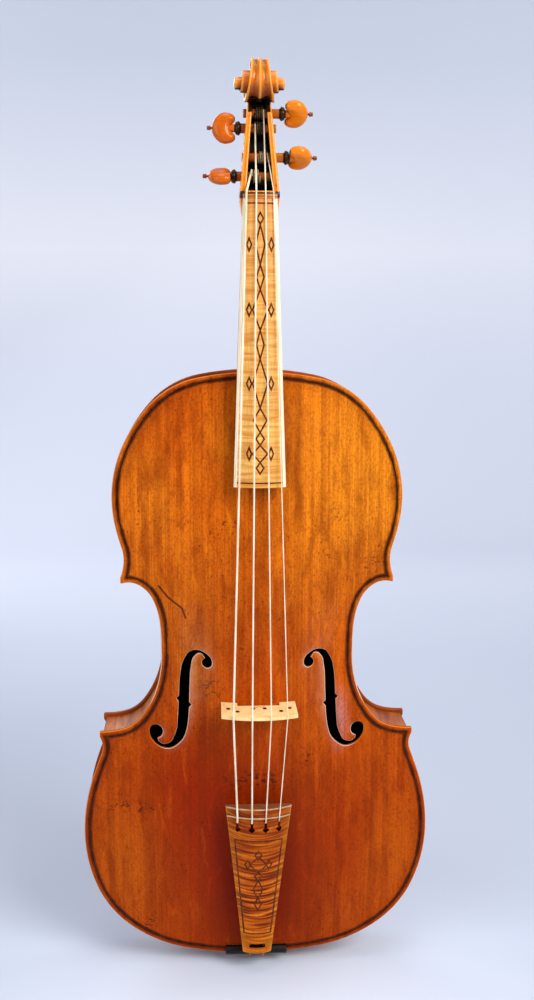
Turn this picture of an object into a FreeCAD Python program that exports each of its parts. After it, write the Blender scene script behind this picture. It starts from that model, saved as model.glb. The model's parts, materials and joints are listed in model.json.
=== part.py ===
import FreeCAD, Part
import Sketcher
import math
import os
import re

# A viola with a carved head, gut strings and an inlaid fingerboard and tailpiece.
# X points to the treble side, Z up the strings to the scroll, and the belly faces -Y.
# Z is zero at the lower edge of the body and Y is zero halfway through the ribs.

doc = FreeCAD.newDocument("viola")

# The driving sizes, in millimetres

SIZES = {
    # outline of the body
    "body_length": 480,
    "lower_bout": 278,
    "upper_bout": 226,
    "waist": 152,
    "lower_corners": 251,
    "upper_corners": 214.6,
    "corner_tip": 4.8,
    # ribs, linings and plates
    "rib_height": 38,
    "rib_thickness": 1.3,
    "overhang": 3,
    "lining_thickness": 2,
    "lining_height": 8,
    "belly_edge": 4,
    "back_edge": 4.2,
    "belly_thickness": 3,
    "back_thickness": 3.2,
    "belly_arch": 17,
    "back_arch": 16,
    "arch_margin": 4,
    "plate_rim": 9,
    "purfling_inset": 3.6,
    "purfling_width": 1.3,
    "purfling_depth": 2,
    "overrun": 6,
    # blocks inside the body
    "top_block_width": 58,
    "top_block_depth": 16,
    "end_block_width": 50,
    "end_block_depth": 15,
    "lower_corner_block_height": 34,
    "lower_corner_block_width": 26,
    "upper_corner_block_height": 32,
    "upper_corner_block_width": 24,
    # sound holes
    "upper_eye_x": 40,
    "upper_eye_z": 253,
    "upper_eye_diameter": 8,
    "lower_eye_x": 80.5,
    "lower_eye_z": 195,
    "lower_eye_diameter": 10.8,
    "notch_depth": 1.9,
    "notch_width": 3.6,
    # bass bar and sound post
    "bar_x": 19,
    "bar_width": 5.5,
    "bar_height": 11,
    "bar_length": 270,
    "bar_centre_z": 236,
    "post_x": 21,
    "post_below_bridge": 7,
    "post_diameter": 6.5,
    # neck, heel and button of the back
    "neck_rise": 12,
    "nut_z": 607,
    "neck_depth_at_nut": 15,
    "neck_depth_at_heel": 19.5,
    "button_width": 22,
    "button_reach": 14,
    "nail_diameter": 3,
    "nail_length": 27,
    "nail_spacing": 8,
    # pegbox and scroll
    "pegbox_width_at_nut": 30,
    "pegbox_width_at_throat": 19,
    "cavity_width_at_nut": 20,
    "cavity_width_at_throat": 10.4,
    "pegbox_floor": 5.5,
    "cavity_start": 6,
    "pegbox_length": 63,
    "throat_back_step": 11.5,
    "eye_z": 690.5,
    "eye_y": -16,
    "volute_radius": 21,
    "eye_radius": 4.6,
    "scroll_top_width": 12.3,
    "chin_width": 23.6,
    "second_turn_width": 26,
    "third_turn_width": 32,
    "eye_width": 38,
    # fingerboard
    "board_length": 212,
    "board_width_at_nut": 25.4,
    "board_width_at_end": 39.4,
    "board_height_at_nut": 5.6,
    "board_height_at_end": 22,
    "board_end_thickness": 10,
    "board_glued_length": 127,
    "board_radius": 44,
    "veneer_thickness": 1.5,
    "edge_strip_width": 2.2,
    "inlay_depth": 0.6,
    "inlay_line": 1.25,
    "chain_half_width": 5.6,
    "side_lozenge_length": 9,
    "side_lozenge_width": 3.6,
    "cross_line_width": 1.1,
    "cross_line_inset": 3.5,
    # nut
    "nut_length": 4.4,
    "nut_height": 6.6,
    "nut_radius": 42,
    "nut_fall": 0.5,
    "nut_bend": 2,
    # bridge
    "bridge_z": 220.5,
    "bridge_width": 58,
    "bridge_top_width": 58.6,
    "bridge_top_y": 72,
    "bridge_radius": 72,
    "bridge_foot_thickness": 5,
    "bridge_top_thickness": 2.2,
    "bridge_foot_width": 12.5,
    "bridge_arch_height": 5.5,
    "bridge_hole_diameter": 1.9,
    # saddle, end button and tail gut
    "saddle_width": 50,
    "saddle_depth": 7,
    "saddle_rise": 4.5,
    "end_button_diameter": 14,
    "end_button_head": 5,
    "end_button_neck": 9,
    "end_button_neck_length": 6.5,
    "end_button_plug": 8,
    "end_button_plug_tip": 6.5,
    "end_button_plug_length": 22,
    "tail_gut_diameter": 1.8,
    # tailpiece
    "tailpiece_top_z": 144,
    "tailpiece_length": 134.8,
    "tailpiece_top_width": 52,
    "tailpiece_bottom_width": 23,
    "tailpiece_top_y": 60,
    "tailpiece_bottom_y": 41,
    "tailpiece_height": 8,
    "tailpiece_wall": 3.6,
    "tailpiece_top_radius": 60,
    "tailpiece_bottom_radius": 24,
    "keyhole_from_top": 18.8,
    "keyhole_size": 5.6,
    "keyhole_slot_width": 2.1,
    "keyhole_slot_length": 8,
    "tail_fret_from_top": 8.6,
    "tail_fret_width": 1.4,
    "tail_fret_height": 1,
    "gut_slot_width": 12.8,
    "gut_slot_height": 3.6,
    "gut_slot_from_bottom": 7.6,
    # pegs
    "peg_diameter": 7.4,
    "peg_tip_diameter": 6.4,
    "peg_fit": 0.05,
    "peg_collar_diameter": 10.6,
    "peg_collar_width": 2.8,
    "bass_collar_gap": 4.2,
    "treble_collar_gap": 6.8,
    "peg_head_width": 22.6,
    "peg_head_length": 17.8,
    "peg_head_thickness": 10.5,
    "peg_pip_diameter": 3.5,
    "peg_pip_length": 2.8,
    "peg_pip_stem": 1.5,
    "peg_string_hole": 1.9,
    "low_tip_reach": 0.6,
    "high_tip_reach": 2.4,
    # each peg's place above the nut and behind the front of the neck
    "peg_c_rise": 17.2,
    "peg_c_back": 14,
    "peg_a_rise": 31.3,
    "peg_a_back": 16.6,
    "peg_g_rise": 52.6,
    "peg_g_back": 20.4,
    "peg_d_rise": 63.6,
    "peg_d_back": 22,
    # strings
    "string_c_diameter": 1.6,
    "string_g_diameter": 1.3,
    "string_d_diameter": 1.05,
    "string_a_diameter": 0.8,
    "arrival_c": -5.8,
    "arrival_g": -3.2,
    "arrival_d": 3.2,
    "arrival_a": 6,
    "string_bend": 6,
    "keyhole_bend": 1.6,
    "knot_diameter": 3.2,
    "winding_gap": 0.05,
    "winding_space": 0.5,
    "run_gap": 0.3,
    "string_seat": 0.05,
}

sheet = doc.addObject("Spreadsheet::Sheet", "sizes")
for row, (alias, number) in enumerate(SIZES.items(), 1):
    sheet.set("A%d" % row, alias)
    sheet.set("B%d" % row, str(number))
    sheet.setAlias("B%d" % row, alias)
doc.recompute()


def rule(text):
    """The same expression with each size read from the sheet."""
    return re.sub(r"[a-z_]+", lambda word: ("sizes." if word[0] in SIZES else "") + word[0], text)


def size(text):
    """The value of an expression of the sheet's sizes."""
    return float(sheet.evalExpression(text))


def bind(thing, **rules):
    """Tie properties to the sheet; a double underscore stands for a point in the property's path."""
    for path, text in rules.items():
        thing.setExpression(path.replace("__", "."), rule(text))
    return thing


def place(thing, x="0", y="0", z="0"):
    return bind(thing, Placement__Base__x=x, Placement__Base__y=y, Placement__Base__z=z)


def box(name, low, span):
    """A block from its low corner and its spans along X, Y and Z."""
    block = bind(doc.addObject("Part::Box", name), Length=span[0], Width=span[1], Height=span[2])
    return place(block, *low)


def join(kind, name, base, tool):
    """A cut or a common of two objects."""
    both = doc.addObject("Part::" + kind, name)
    both.Base = base
    both.Tool = tool
    return both


def fuse(name, things):
    """A union of several objects."""
    union = doc.addObject("Part::MultiFuse", name)
    union.Shapes = things
    return union


def shaped(name, shape):
    """An object whose shape is worked out here."""
    thing = doc.addObject("Part::Feature", name)
    thing.Shape = shape
    return thing


def extruded(name, base, direction, forward, backward="0"):
    """A prism of a face or sketch along a direction."""
    prism = doc.addObject("Part::Extrusion", name)
    prism.Base = base
    prism.DirMode = "Custom"
    prism.Dir = direction
    prism.Solid = True
    return bind(prism, LengthFwd=forward, LengthRev=backward)


ALONG_X = FreeCAD.Vector(1, 0, 0)
ALONG_Y = FreeCAD.Vector(0, 1, 0)
ALONG_Z = FreeCAD.Vector(0, 0, 1)
ORIGIN = FreeCAD.Vector(0, 0, 0)

# Drawing: points, arcs and chains of arcs in the plane of X and Z


def at(x, z):
    return FreeCAD.Vector(x, 0, z)


def heading(degrees):
    """A unit vector, turned from X towards Z."""
    turn = math.radians(degrees)
    return FreeCAD.Vector(math.cos(turn), 0, math.sin(turn))


def arc(start, way, end):
    """The arc, or line, that leaves start along way and reaches end."""
    chord = end - start
    bulge = chord.dot(left_of(way))
    if abs(bulge) < 1e-9 * chord.Length:
        return Part.LineSegment(start, end)
    radius = chord.dot(chord) / (2 * bulge)
    centre = start + left_of(way) * radius
    half = math.atan2(bulge, chord.dot(way))
    spoke = start - centre
    cosine = math.cos(half)
    sine = math.sin(half)
    middle = centre + FreeCAD.Vector(cosine * spoke.x - sine * spoke.z, 0, sine * spoke.x + cosine * spoke.z)
    return Part.ArcOfCircle(start, middle, end)


def arc_joint(start, way, end, end_way):
    """Where two arcs meet that leave start along way and reach end along end_way."""
    chord = end - start
    both = way + end_way
    spread = 2 * (1 - way.dot(end_way))
    if spread < 1e-9:
        reach = chord.dot(chord) / (4 * chord.dot(end_way))
    else:
        reach = (-chord.dot(both) + math.sqrt(chord.dot(both) ** 2 + spread * chord.dot(chord))) / spread
    return (start + end + (way - end_way) * reach) / 2


def left_of(way):
    return FreeCAD.Vector(-way.z, 0, way.x)


def bends(nodes, inset=0):
    """The arcs through nodes of x, z and heading, moved to their left by an inset.

    Each is given by its start, its way there, its end and its way there.
    """
    found = []
    for (x_a, z_a, turn_a), (x_b, z_b, turn_b) in zip(nodes, nodes[1:]):
        start = at(x_a, z_a)
        end = at(x_b, z_b)
        way = heading(turn_a)
        end_way = heading(turn_b)
        middle = arc_joint(start, way, end, end_way)
        chord = middle - start
        middle_way = heading(2 * math.degrees(math.atan2(chord.z, chord.x)) - turn_a)
        for a, a_way, b, b_way in ((start, way, middle, middle_way), (middle, middle_way, end, end_way)):
            found.append((a + left_of(a_way) * inset, a_way, b + left_of(b_way) * inset, b_way))
    return found


def chain(nodes):
    return [arc(*bend[:3]) for bend in bends(nodes)]


def wire(curves):
    return Part.Wire(Part.__sortEdges__([curve.toShape() for curve in curves]))


def polygon(points):
    """A closed face through points of x and z."""
    corners = [at(x, z) for x, z in points]
    return Part.Face(Part.makePolygon(corners + corners[:1]))


def side_on(shape):
    """The same shape with its X axis laid along Y."""
    return shape.rotated(ORIGIN, ALONG_Z, 90)


def mirrored(shape):
    return shape.mirror(ORIGIN, ALONG_X)


def plane_of(body, role):
    return next(part for part in body.Origin.OriginFeatures if part.Role == role)


def draw(sketch, corners):
    """Close a loop through corners, each tied to the sheet.

    A third entry is the radius of the arc to the next corner, with its centre on the left.
    A minus sign before it puts the centre on the right.
    """
    points = [FreeCAD.Vector(size(corner[0]), size(corner[1]), 0) for corner in corners]
    first = sketch.GeometryCount
    starts = []
    for number, corner in enumerate(corners):
        start = points[number]
        end = points[(number + 1) % len(points)]
        if len(corner) == 2:
            starts.append((sketch.addGeometry(Part.LineSegment(start, end)), 1))
            continue
        radius = size(corner[2])
        chord = end - start
        unit = chord / chord.Length
        side = FreeCAD.Vector(-unit.y, unit.x, 0) * math.copysign(1, radius)
        rise = math.sqrt(radius ** 2 - chord.Length ** 2 / 4)
        middle = (start + end) / 2 - side * (abs(radius) - rise)
        ends = (start, end) if radius > 0 else (end, start)
        curve = sketch.addGeometry(Part.ArcOfCircle(ends[0], middle, ends[1]))
        starts.append((curve, 1 if radius > 0 else 2))
        limit = sketch.addConstraint(Sketcher.Constraint("Radius", curve, abs(radius)))
        sketch.setExpression("Constraints[%d]" % limit, rule(corner[2].lstrip("-")))
    for number, corner in enumerate(corners):
        curve, start = starts[number]
        before, before_start = starts[number - 1]
        sketch.addConstraint(Sketcher.Constraint("Coincident", before, 3 - before_start, curve, start))
        for axis, text in (("DistanceX", corner[0]), ("DistanceY", corner[1])):
            limit = sketch.addConstraint(Sketcher.Constraint(axis, -1, 1, curve, start, size(text)))
            sketch.setExpression("Constraints[%d]" % limit, rule(text))
    return first


def ring(sketch, x, y, diameter):
    """A circle tied to the sheet."""
    centre = FreeCAD.Vector(size(x), size(y), 0)
    curve = sketch.addGeometry(Part.Circle(centre, ORIGIN + ALONG_Z, size(diameter) / 2))
    for axis, text in (("DistanceX", x), ("DistanceY", y)):
        limit = sketch.addConstraint(Sketcher.Constraint(axis, -1, 1, curve, 3, size(text)))
        sketch.setExpression("Constraints[%d]" % limit, rule(text))
    limit = sketch.addConstraint(Sketcher.Constraint("Diameter", curve, size(diameter)))
    sketch.setExpression("Constraints[%d]" % limit, rule(diameter))


def body_sketch(body, name, role):
    sketch = body.newObject("Sketcher::SketchObject", name)
    sketch.AttachmentSupport = [(plane_of(body, role), "")]
    sketch.MapMode = "FlatFace"
    return sketch


def feature(body, kind, name, sketch, **rules):
    """A feature of a body made from one of its sketches."""
    made = body.newObject("PartDesign::" + kind, name)
    made.Profile = sketch
    return bind(made, **rules)


# Outline of the body. Each node has a share of the way from one width to another,
# a share of the body's length, and the heading of the edge there.

LOWER_BOUT_SHARES = ((0, 0, 0), (0.728, 0.0533, 36.7), (1, 0.2267, 90))
LOWER_CORNER_SHARES = ((0.687, 0.3348, 109.9), (1, 0.3948, 59.4))
WAIST_SHARES = (
    (1, 0.4048, 183), (0.33, 0.4294, 127.7), (0, 0.5344, 90), (0.19, 0.6283, 65.2), (1, 0.6554, -21.6))
UPPER_CORNER_SHARES = ((1, 0.6652, 111.1), (1.22, 0.7163, 71.2))
UPPER_BOUT_SHARES = ((1, 0.7967, 90), (0.747, 0.9446, 131.7), (0, 1, 180))

half_lower = size("lower_bout / 2")
half_upper = size("upper_bout / 2")
half_waist = size("waist / 2")
lower_corner = size("lower_corners / 2")
upper_corner = size("upper_corners / 2")
length = size("body_length")
tip = size("corner_tip / 2")


def nodes_between(shares, inner, outer):
    return [(inner + share * (outer - inner), z_share * length, turn) for share, z_share, turn in shares]


lower_nodes = nodes_between(LOWER_BOUT_SHARES, 0, half_lower)
lower_nodes += nodes_between(LOWER_CORNER_SHARES, half_lower, lower_corner)
waist_nodes = nodes_between(WAIST_SHARES[:3], half_waist, lower_corner)
waist_nodes += nodes_between(WAIST_SHARES[3:], half_waist, upper_corner)
upper_nodes = nodes_between(UPPER_CORNER_SHARES, half_upper, upper_corner)
upper_nodes += nodes_between(UPPER_BOUT_SHARES, 0, half_upper)


def meeting(first, second, near):
    """The point nearest to near where two arcs, drawn on, cross."""
    gap = second.Center - first.Center
    along = (gap.dot(gap) + first.Radius ** 2 - second.Radius ** 2) / (2 * gap.Length)
    across = math.sqrt(first.Radius ** 2 - along ** 2)
    unit = gap / gap.Length
    middle = first.Center + unit * along
    options = [middle + left_of(unit) * across, middle - left_of(unit) * across]
    return min(options, key=lambda point: point.distanceToPoint(near))


def half_outline(inset):
    """The curves of the treble half of the outline, an inset inside the edge."""
    runs = [bends(nodes, inset) for nodes in (lower_nodes, waist_nodes, upper_nodes)]
    curves = []
    for below, above in zip(runs, runs[1:]):
        start, way, end, end_way = below[-1]
        next_start, next_way, next_end, next_end_way = above[0]
        if inset:
            onward = arc(next_start, next_way, next_end)
            crossing = meeting(arc(start, way, end), onward, (end + next_start) / 2)
            below[-1] = (start, way, crossing, end_way)
            above[0] = (next_end, -next_end_way, crossing, next_way)
        else:
            curves.append(Part.LineSegment(end, next_start))
    return curves + [arc(*bend[:3]) for run in runs for bend in run]


def half_face(inset):
    """The treble half of the outline as a face, closed along the centre line."""
    curves = half_outline(inset)
    return Part.Face(wire(curves + [Part.LineSegment(at(0, inset), at(0, length - inset))]))


def whole_face(inset):
    half = [curve.toShape() for curve in half_outline(inset)]
    return Part.Face(Part.Wire(Part.__sortEdges__(half + [mirrored(edge) for edge in half])))


# Arching: a smooth mound over the outline, flat outside a margin

ARCH_COLUMNS = 15
ARCH_ROWS = 44
BOUT_POWER = 2.4
CROSS_POWER = 1.6
LONG_POWERS = (3, 1.25)


def mound_half_width(z):
    """Half the width of the raised part of the plate at a height."""
    margin = size("arch_margin")
    low = LOWER_BOUT_SHARES[2][1] * length
    narrow = WAIST_SHARES[2][1] * length
    high = UPPER_BOUT_SHARES[0][1] * length
    widths = [half - margin for half in (half_lower, half_waist, half_upper)]
    if z <= low:
        return widths[0] * max(0, 1 - min(1, (low - z) / (low - margin)) ** BOUT_POWER) ** (1 / BOUT_POWER)
    if z >= high:
        top = length - margin
        return widths[2] * max(0, 1 - min(1, (z - high) / (top - high)) ** BOUT_POWER) ** (1 / BOUT_POWER)
    if z <= narrow:
        share = (1 + math.cos(math.pi * (z - low) / (narrow - low))) / 2
        return widths[1] + share * (widths[0] - widths[1])
    share = (1 - math.cos(math.pi * (z - narrow) / (high - narrow))) / 2
    return widths[1] + share * (widths[2] - widths[1])


def mound(x, z):
    """Height of the arching above its edge, as a share of the full arch."""
    margin = size("arch_margin")
    width = mound_half_width(z)
    along = min(1, abs(2 * (z - margin) / (length - 2 * margin) - 1))
    if width <= abs(x) or along >= 1:
        return 0
    return (1 - along ** LONG_POWERS[0]) ** LONG_POWERS[1] * (1 - (x / width) ** 2) ** CROSS_POWER


def arch_face(edge_y, rise):
    """The arched surface over the treble half and a little more; rise is positive towards +Y."""
    rows = []
    for column in range(ARCH_COLUMNS + 1):
        x = (half_lower + 2 * reach) * column / ARCH_COLUMNS - reach
        heights = [length * row / ARCH_ROWS for row in range(ARCH_ROWS + 1)]
        heights = [-reach] + heights + [length + reach, length + reach + size("button_reach")]
        rows.append([FreeCAD.Vector(x, edge_y + rise * mound(x, z), z) for z in heights])
    surface = Part.BSplineSurface()
    surface.interpolate(rows)
    return surface.toShape()


reach = size("overrun")
rib_face = size("rib_height / 2")
back_of_neck = length - size("overhang")
DEEP = "(rib_height / 2 + belly_edge + belly_arch + back_arch + overrun)"
HALF = "(lower_bout / 2 + overrun)"
INSIDE = "overhang + rib_thickness"
LINED = "overhang + rib_thickness + lining_thickness"


def prism(name, face, side, span, start=0):
    """A prism of a face along Y from a start, forwards on side -1 and backwards on side 1."""
    base = shaped(name + "_base", face.translated(ALONG_Y * start))
    return extruded(name, base, ALONG_Y * side, span)


def mirror_image(name, source):
    """The bass twin of a piece on the treble side."""
    twin = doc.addObject("Part::Mirroring", name)
    twin.Source = source
    twin.Base = ORIGIN
    twin.Normal = ALONG_X
    return twin


def pair(name, source):
    """A piece and its mirror image together in one node."""
    both = doc.addObject("Part::Compound", name)
    both.Links = [source, mirror_image(name + "_bass_side", source)]
    return both


# The arched plates, with their purfling, before they are fitted to the neck and saddle.
# Each half is worked out on the treble side, and mirrored for the bass side.


def button_face():
    """The treble half of the round button that the heel stands on."""
    half = size("button_width / 2")
    low = back_of_neck - size("top_block_depth")
    top = back_of_neck + size("button_reach")
    curves = chain([(half, low, 90), (half, top - half, 90), (0, top, 180)])
    curves += [Part.LineSegment(at(0, top), at(0, low)), Part.LineSegment(at(0, low), at(half, low))]
    return Part.Face(wire(curves))


def arched_plate(name, side, outline):
    """The treble half of a plate, its purfling and the spaces behind its faces."""
    span = "%s_edge + %s_arch + overrun" % (name, name)
    surface = arch_face(side * (rib_face + size(name + "_edge")), side * size(name + "_arch"))
    spaces = {}
    drops = {"outside": 0, "groove": size("purfling_depth"), "inside": size(name + "_thickness")}
    for level, drop in drops.items():
        face = shaped("%s_%s_face" % (name, level), surface.translated(ALONG_Y * -side * drop))
        spaces[level] = extruded("%s_%s" % (name, level), face, ALONG_Y * -side, "2 * " + DEEP)
    start = side * rib_face
    rim = prism(name + "_rim", half_face(size("plate_rim")), side, span, start)
    hollow = join("Common", name + "_hollow", rim, spaces["inside"])
    shell = join("Cut", name + "_shell", join("Common", name + "_slab", outline, spaces["outside"]), hollow)
    outer = prism(name + "_band_outer", half_face(size("purfling_inset")), side, span, start)
    inner = prism(name + "_band_inner", half_face(size("purfling_inset + purfling_width")), side, span, start)
    band = join("Cut", name + "_deep_band", join("Cut", name + "_band", outer, inner), spaces["groove"])
    strip = join("Common", name + "_purfling_half", band, spaces["outside"])
    return join("Cut", name + "_grooved", shell, band), strip, spaces


belly_outline = prism("belly_outline", half_face(0), -1, "belly_edge + belly_arch + overrun", -rib_face)
back_body = prism("back_body", half_face(0), 1, "back_edge + back_arch + overrun", rib_face)
button = prism("button", button_face(), 1, "back_edge", rib_face)
back_outline = fuse("back_outline", [back_body, button])

belly_grooved, belly_strip, belly_spaces = arched_plate("belly", -1, belly_outline)
back_grooved, back_strip, back_spaces = arched_plate("back", 1, back_outline)

# Sound holes: two eyes joined by a stem, whose sides are chains of arcs.
# Places are shares of the way from the upper eye to the lower one.

STEM_OUTER_SHARES = (
    (0.108, -0.1635, 20), (0.194, -0.172, 0), (0.385, -0.104, -58), (0.503, 0.099, -81), (0.5415, 0.39, -88),
    (0.566, 0.734, -87.5), (0.63, 1.026, -66), (0.753, 1.151, -22), (0.861, 1.168, 4), (0.947, 1.139, 35),
)
STEM_INNER_SHARES = (
    (0.043, -0.073, 55), (0.129, -0.13, 5), (0.265, -0.0625, -57), (0.315, 0.078, -80), (0.341, 0.339, -88),
    (0.3595, 0.703, -87), (0.432, 1.015, -72), (0.61, 1.177, -38), (0.782, 1.226, 0), (0.997, 1.177, 36),
    (1.112, 1.078, 65),
)
NOTCH_SHARES = ((0.343, 0.6, -1), (0.558, 0.531, 1))


def sound_hole():
    """The faces that make up the treble sound hole: the stem, both eyes and both notches."""
    upper = at(size("upper_eye_x"), size("upper_eye_z"))
    lower = at(size("lower_eye_x"), size("lower_eye_z"))
    upper_radius = size("upper_eye_diameter / 2")
    lower_radius = size("lower_eye_diameter / 2")

    def spot(share_x, share_z):
        return (upper.x + share_x * (lower.x - upper.x), upper.z + share_z * (lower.z - upper.z))

    outer = [(upper.x - upper_radius, upper.z, 90)]
    outer += [spot(x, z) + (turn,) for x, z, turn in STEM_OUTER_SHARES]
    foot = lower + heading(-100) * lower_radius
    outer += [(foot.x, foot.z, 62)]
    inner = [spot(x, z) + (turn,) for x, z, turn in STEM_INNER_SHARES]
    inner += [(lower.x + lower_radius, lower.z, 90)]
    curves = chain(outer) + chain(inner)
    curves += [Part.LineSegment(at(*outer[0][:2]), at(*inner[0][:2]))]
    curves += [Part.LineSegment(at(*outer[-1][:2]), at(*inner[-1][:2]))]
    faces = [Part.Face(wire(curves))]
    for centre, radius in ((upper, upper_radius), (lower, lower_radius)):
        faces.append(Part.Face(Part.Wire(Part.Circle(centre, -ALONG_Y, radius).toShape())))
    for share_x, share_z, side in NOTCH_SHARES:
        x, z = spot(share_x, share_z)
        half = size("notch_width / 2")
        tip_x = x + side * size("notch_depth")
        root_x = x - side * size("notch_depth")
        faces.append(polygon([(tip_x, z), (root_x, z + 2 * half), (root_x, z - 2 * half)]))
    return faces


hole_prisms = []
for number, face in enumerate(sound_hole()):
    hole_prisms.append(prism("sound_hole_%d" % number, face, -1, DEEP))
sound_hole_cut = fuse("sound_hole_cut", hole_prisms)

# Ribs: a ring cut into three strips a side, with mitres at the corners

LOWER_MITRE = 211
UPPER_MITRE = 135


def waist_wedge():
    """A face that holds the treble waist rib and nothing of the other ribs."""
    points = [at(0, WAIST_SHARES[2][1] * length)]
    for corner, nodes, turn in (
        (lower_corner, (lower_nodes[-1], waist_nodes[0]), LOWER_MITRE),
        (upper_corner, (waist_nodes[-1], upper_nodes[0]), UPPER_MITRE),
    ):
        corner_point = at(corner, (nodes[0][1] + nodes[1][1]) / 2)
        span = heading(turn) * size("lower_corner_block_height")
        points += [corner_point + span, corner_point - span]
    return polygon([(point.x, point.z) for point in (points[0], points[1], points[2], points[4], points[3])])


def rib_prism(name, face):
    return prism(name, face, 1, "rib_height", -rib_face)


rib_body = rib_prism("rib_body", half_face(size("overhang")))
rib_core = rib_prism("rib_core", half_face(size(INSIDE)))
rib_strip = join("Cut", "rib_strip", rib_body, rib_core)
waist_block = prism("waist_wedge", waist_wedge(), 1, "2 * " + DEEP, -size(DEEP))
MIDDLE = str(WAIST_SHARES[2][1]) + " * body_length"
below_waist = box("below_waist", ("0", "-" + DEEP, "0"), (HALF, "2 * " + DEEP, MIDDLE))
above_waist = box("above_waist", ("0", "-" + DEEP, MIDDLE), (HALF, "2 * " + DEEP, "body_length - " + MIDDLE))

rib_waist_treble = join("Common", "rib_waist_treble", rib_strip, waist_block)
mirror_image("rib_waist_bass", rib_waist_treble)
rib_ends = join("Cut", "rib_ends", rib_strip, waist_block)
rib_lower = join("Common", "rib_lower", rib_ends, below_waist)
rib_upper = join("Common", "rib_upper", rib_ends, above_waist)

# Blocks, linings, bass bar and sound post inside the body

BLOCK_BELOW_SHARES = (0.6, 0.4)
core = prism("core", whole_face(size(INSIDE)), 1, "rib_height", -rib_face)


def core_block(name, low_x, low_z, width, height):
    """A block of the full rib height that fits the inside of the ribs."""
    space = box(name + "_space", (low_x, "-rib_height / 2", low_z), (width, "rib_height", height))
    return join("Common", name, core, space)


top_block_solid = core_block(
    "top_block_solid", "-top_block_width / 2",
    "body_length - %s - top_block_depth" % INSIDE.replace(" +", " -"),
    "top_block_width", "top_block_depth + overrun")
end_block_solid = core_block(
    "end_block_solid", "-end_block_width / 2", "0", "end_block_width", "end_block_depth + " + INSIDE)
lower_block = core_block(
    "corner_block_lower_treble", "lower_corners / 2 - overhang - lower_corner_block_width",
    "%g * body_length - %g * lower_corner_block_height" % (LOWER_CORNER_SHARES[1][1], BLOCK_BELOW_SHARES[0]),
    "lower_corner_block_width", "lower_corner_block_height")
upper_block = core_block(
    "corner_block_upper_treble", "upper_corners / 2 - overhang - upper_corner_block_width",
    "%g * body_length - %g * upper_corner_block_height" % (UPPER_CORNER_SHARES[0][1], BLOCK_BELOW_SHARES[1]),
    "upper_corner_block_width", "upper_corner_block_height")
mirror_image("corner_block_lower_bass", lower_block)
mirror_image("corner_block_upper_bass", upper_block)
blocks = fuse("blocks", [top_block_solid, end_block_solid, lower_block, upper_block])

lining_core = rib_prism("lining_core", half_face(size(LINED)))
lining_strip = join("Cut", "lining_strip", join("Cut", "lining_ring", rib_core, lining_core), blocks)
for name, low in (("belly", "-rib_height / 2"), ("back", "rib_height / 2 - lining_height")):
    band = box("lining_band_" + name, ("0", low, "0"), (HALF, "lining_height", "body_length"))
    pair("linings_" + name, join("Common", "lining_half_" + name, lining_strip, band))


def bar_profile():
    """Side view of the bass bar: it reaches past the belly, which trims it."""
    end_share = 0.3
    low = size("bar_centre_z - bar_length / 2")
    high = size("bar_centre_z + bar_length / 2")
    step = end_share * (high - low)
    crest = size("belly_arch + belly_edge - belly_thickness")
    top = -rib_face - crest - size("overrun")
    points = [(top, low), (top, high)]
    for z, share in ((high, end_share), (high - step, 1), (low + step, 1), (low, end_share)):
        rise = size("belly_arch") * mound(size("bar_x"), z) + size("belly_edge - belly_thickness")
        points.append((-rib_face - rise + share * size("bar_height"), z))
    return side_on(polygon(points))


bar_face = shaped("bar_face", bar_profile())
bar_solid = extruded("bar_solid", bar_face, ALONG_X, "bar_width / 2 + bar_x", "bar_width / 2 - bar_x")
mirror_image("bass_bar", join("Common", "bar_trimmed", bar_solid, belly_spaces["inside"]))

post_rod = doc.addObject("Part::Cylinder", "post_rod")
post_rod.Placement.Rotation = FreeCAD.Rotation(ALONG_X, -90)
bind(post_rod, Radius="post_diameter / 2", Height="2 * " + DEEP)
place(post_rod, "post_x", "-" + DEEP, "bridge_z - post_below_bridge")
post_long = join("Common", "post_long", post_rod, belly_spaces["inside"])
join("Common", "sound_post", post_long, back_spaces["inside"])

# Neck, heel, pegbox and scroll: one piece of maple, cut to the curve of the ribs

neck_top = rib_face + size("neck_rise")
nut_z = size("nut_z")
board_end_z = size("nut_z - board_length")


def between(z, at_nut, at_end):
    """A value that runs evenly from the nut to the lower end of the fingerboard."""
    share = (nut_z - z) / size("board_length")
    return at_nut + share * (at_end - at_nut)


def board_half_width(z):
    return between(z, size("board_width_at_nut"), size("board_width_at_end")) / 2


def neck_section(z):
    """A level section of the neck: flat under the fingerboard and round behind."""
    half = board_half_width(z)
    share = (nut_z - z) / (nut_z - back_of_neck)
    depth = size("neck_depth_at_nut") + share * size("neck_depth_at_heel - neck_depth_at_nut")
    round_side = chain([(-half, 0, -90), (0, -depth, 0), (half, 0, 90)])
    section = wire(round_side + [Part.LineSegment(at(half, 0), at(-half, 0))])
    return section.rotated(ORIGIN, ALONG_X, 90).translated(FreeCAD.Vector(0, -neck_top, z))


HEEL_SHARES = ((0, 0, 0), (0.3, 0.1, 0.04), (0.56, 0.34, 0.22), (0.72, 0.6, 0.75), (0.86, 0.86, 1.8))


def heel_section(down_share, width_share, reach_share):
    """A section of the heel parallel to the back, from the button down to the neck."""
    top_half = board_half_width(back_of_neck)
    half = size("button_width / 2") + width_share * (top_half - size("button_width / 2"))
    y = rib_face - down_share * (rib_face + neck_top)
    low = back_of_neck - reach
    tip = back_of_neck + size("button_reach") * (1 + reach_share)
    straight = back_of_neck + size("button_reach") * (1 + reach_share) - half
    curves = [Part.LineSegment(at(start_x, low), at(end_x, end_z)) for start_x, end_x, end_z in (
        (-half, half, low), (half, half, straight), (-half, -half, straight))]
    curves += chain([(half, straight, 90), (0, tip, 180), (-half, straight, 270)])
    return wire(curves).translated(ALONG_Y * y)


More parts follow.
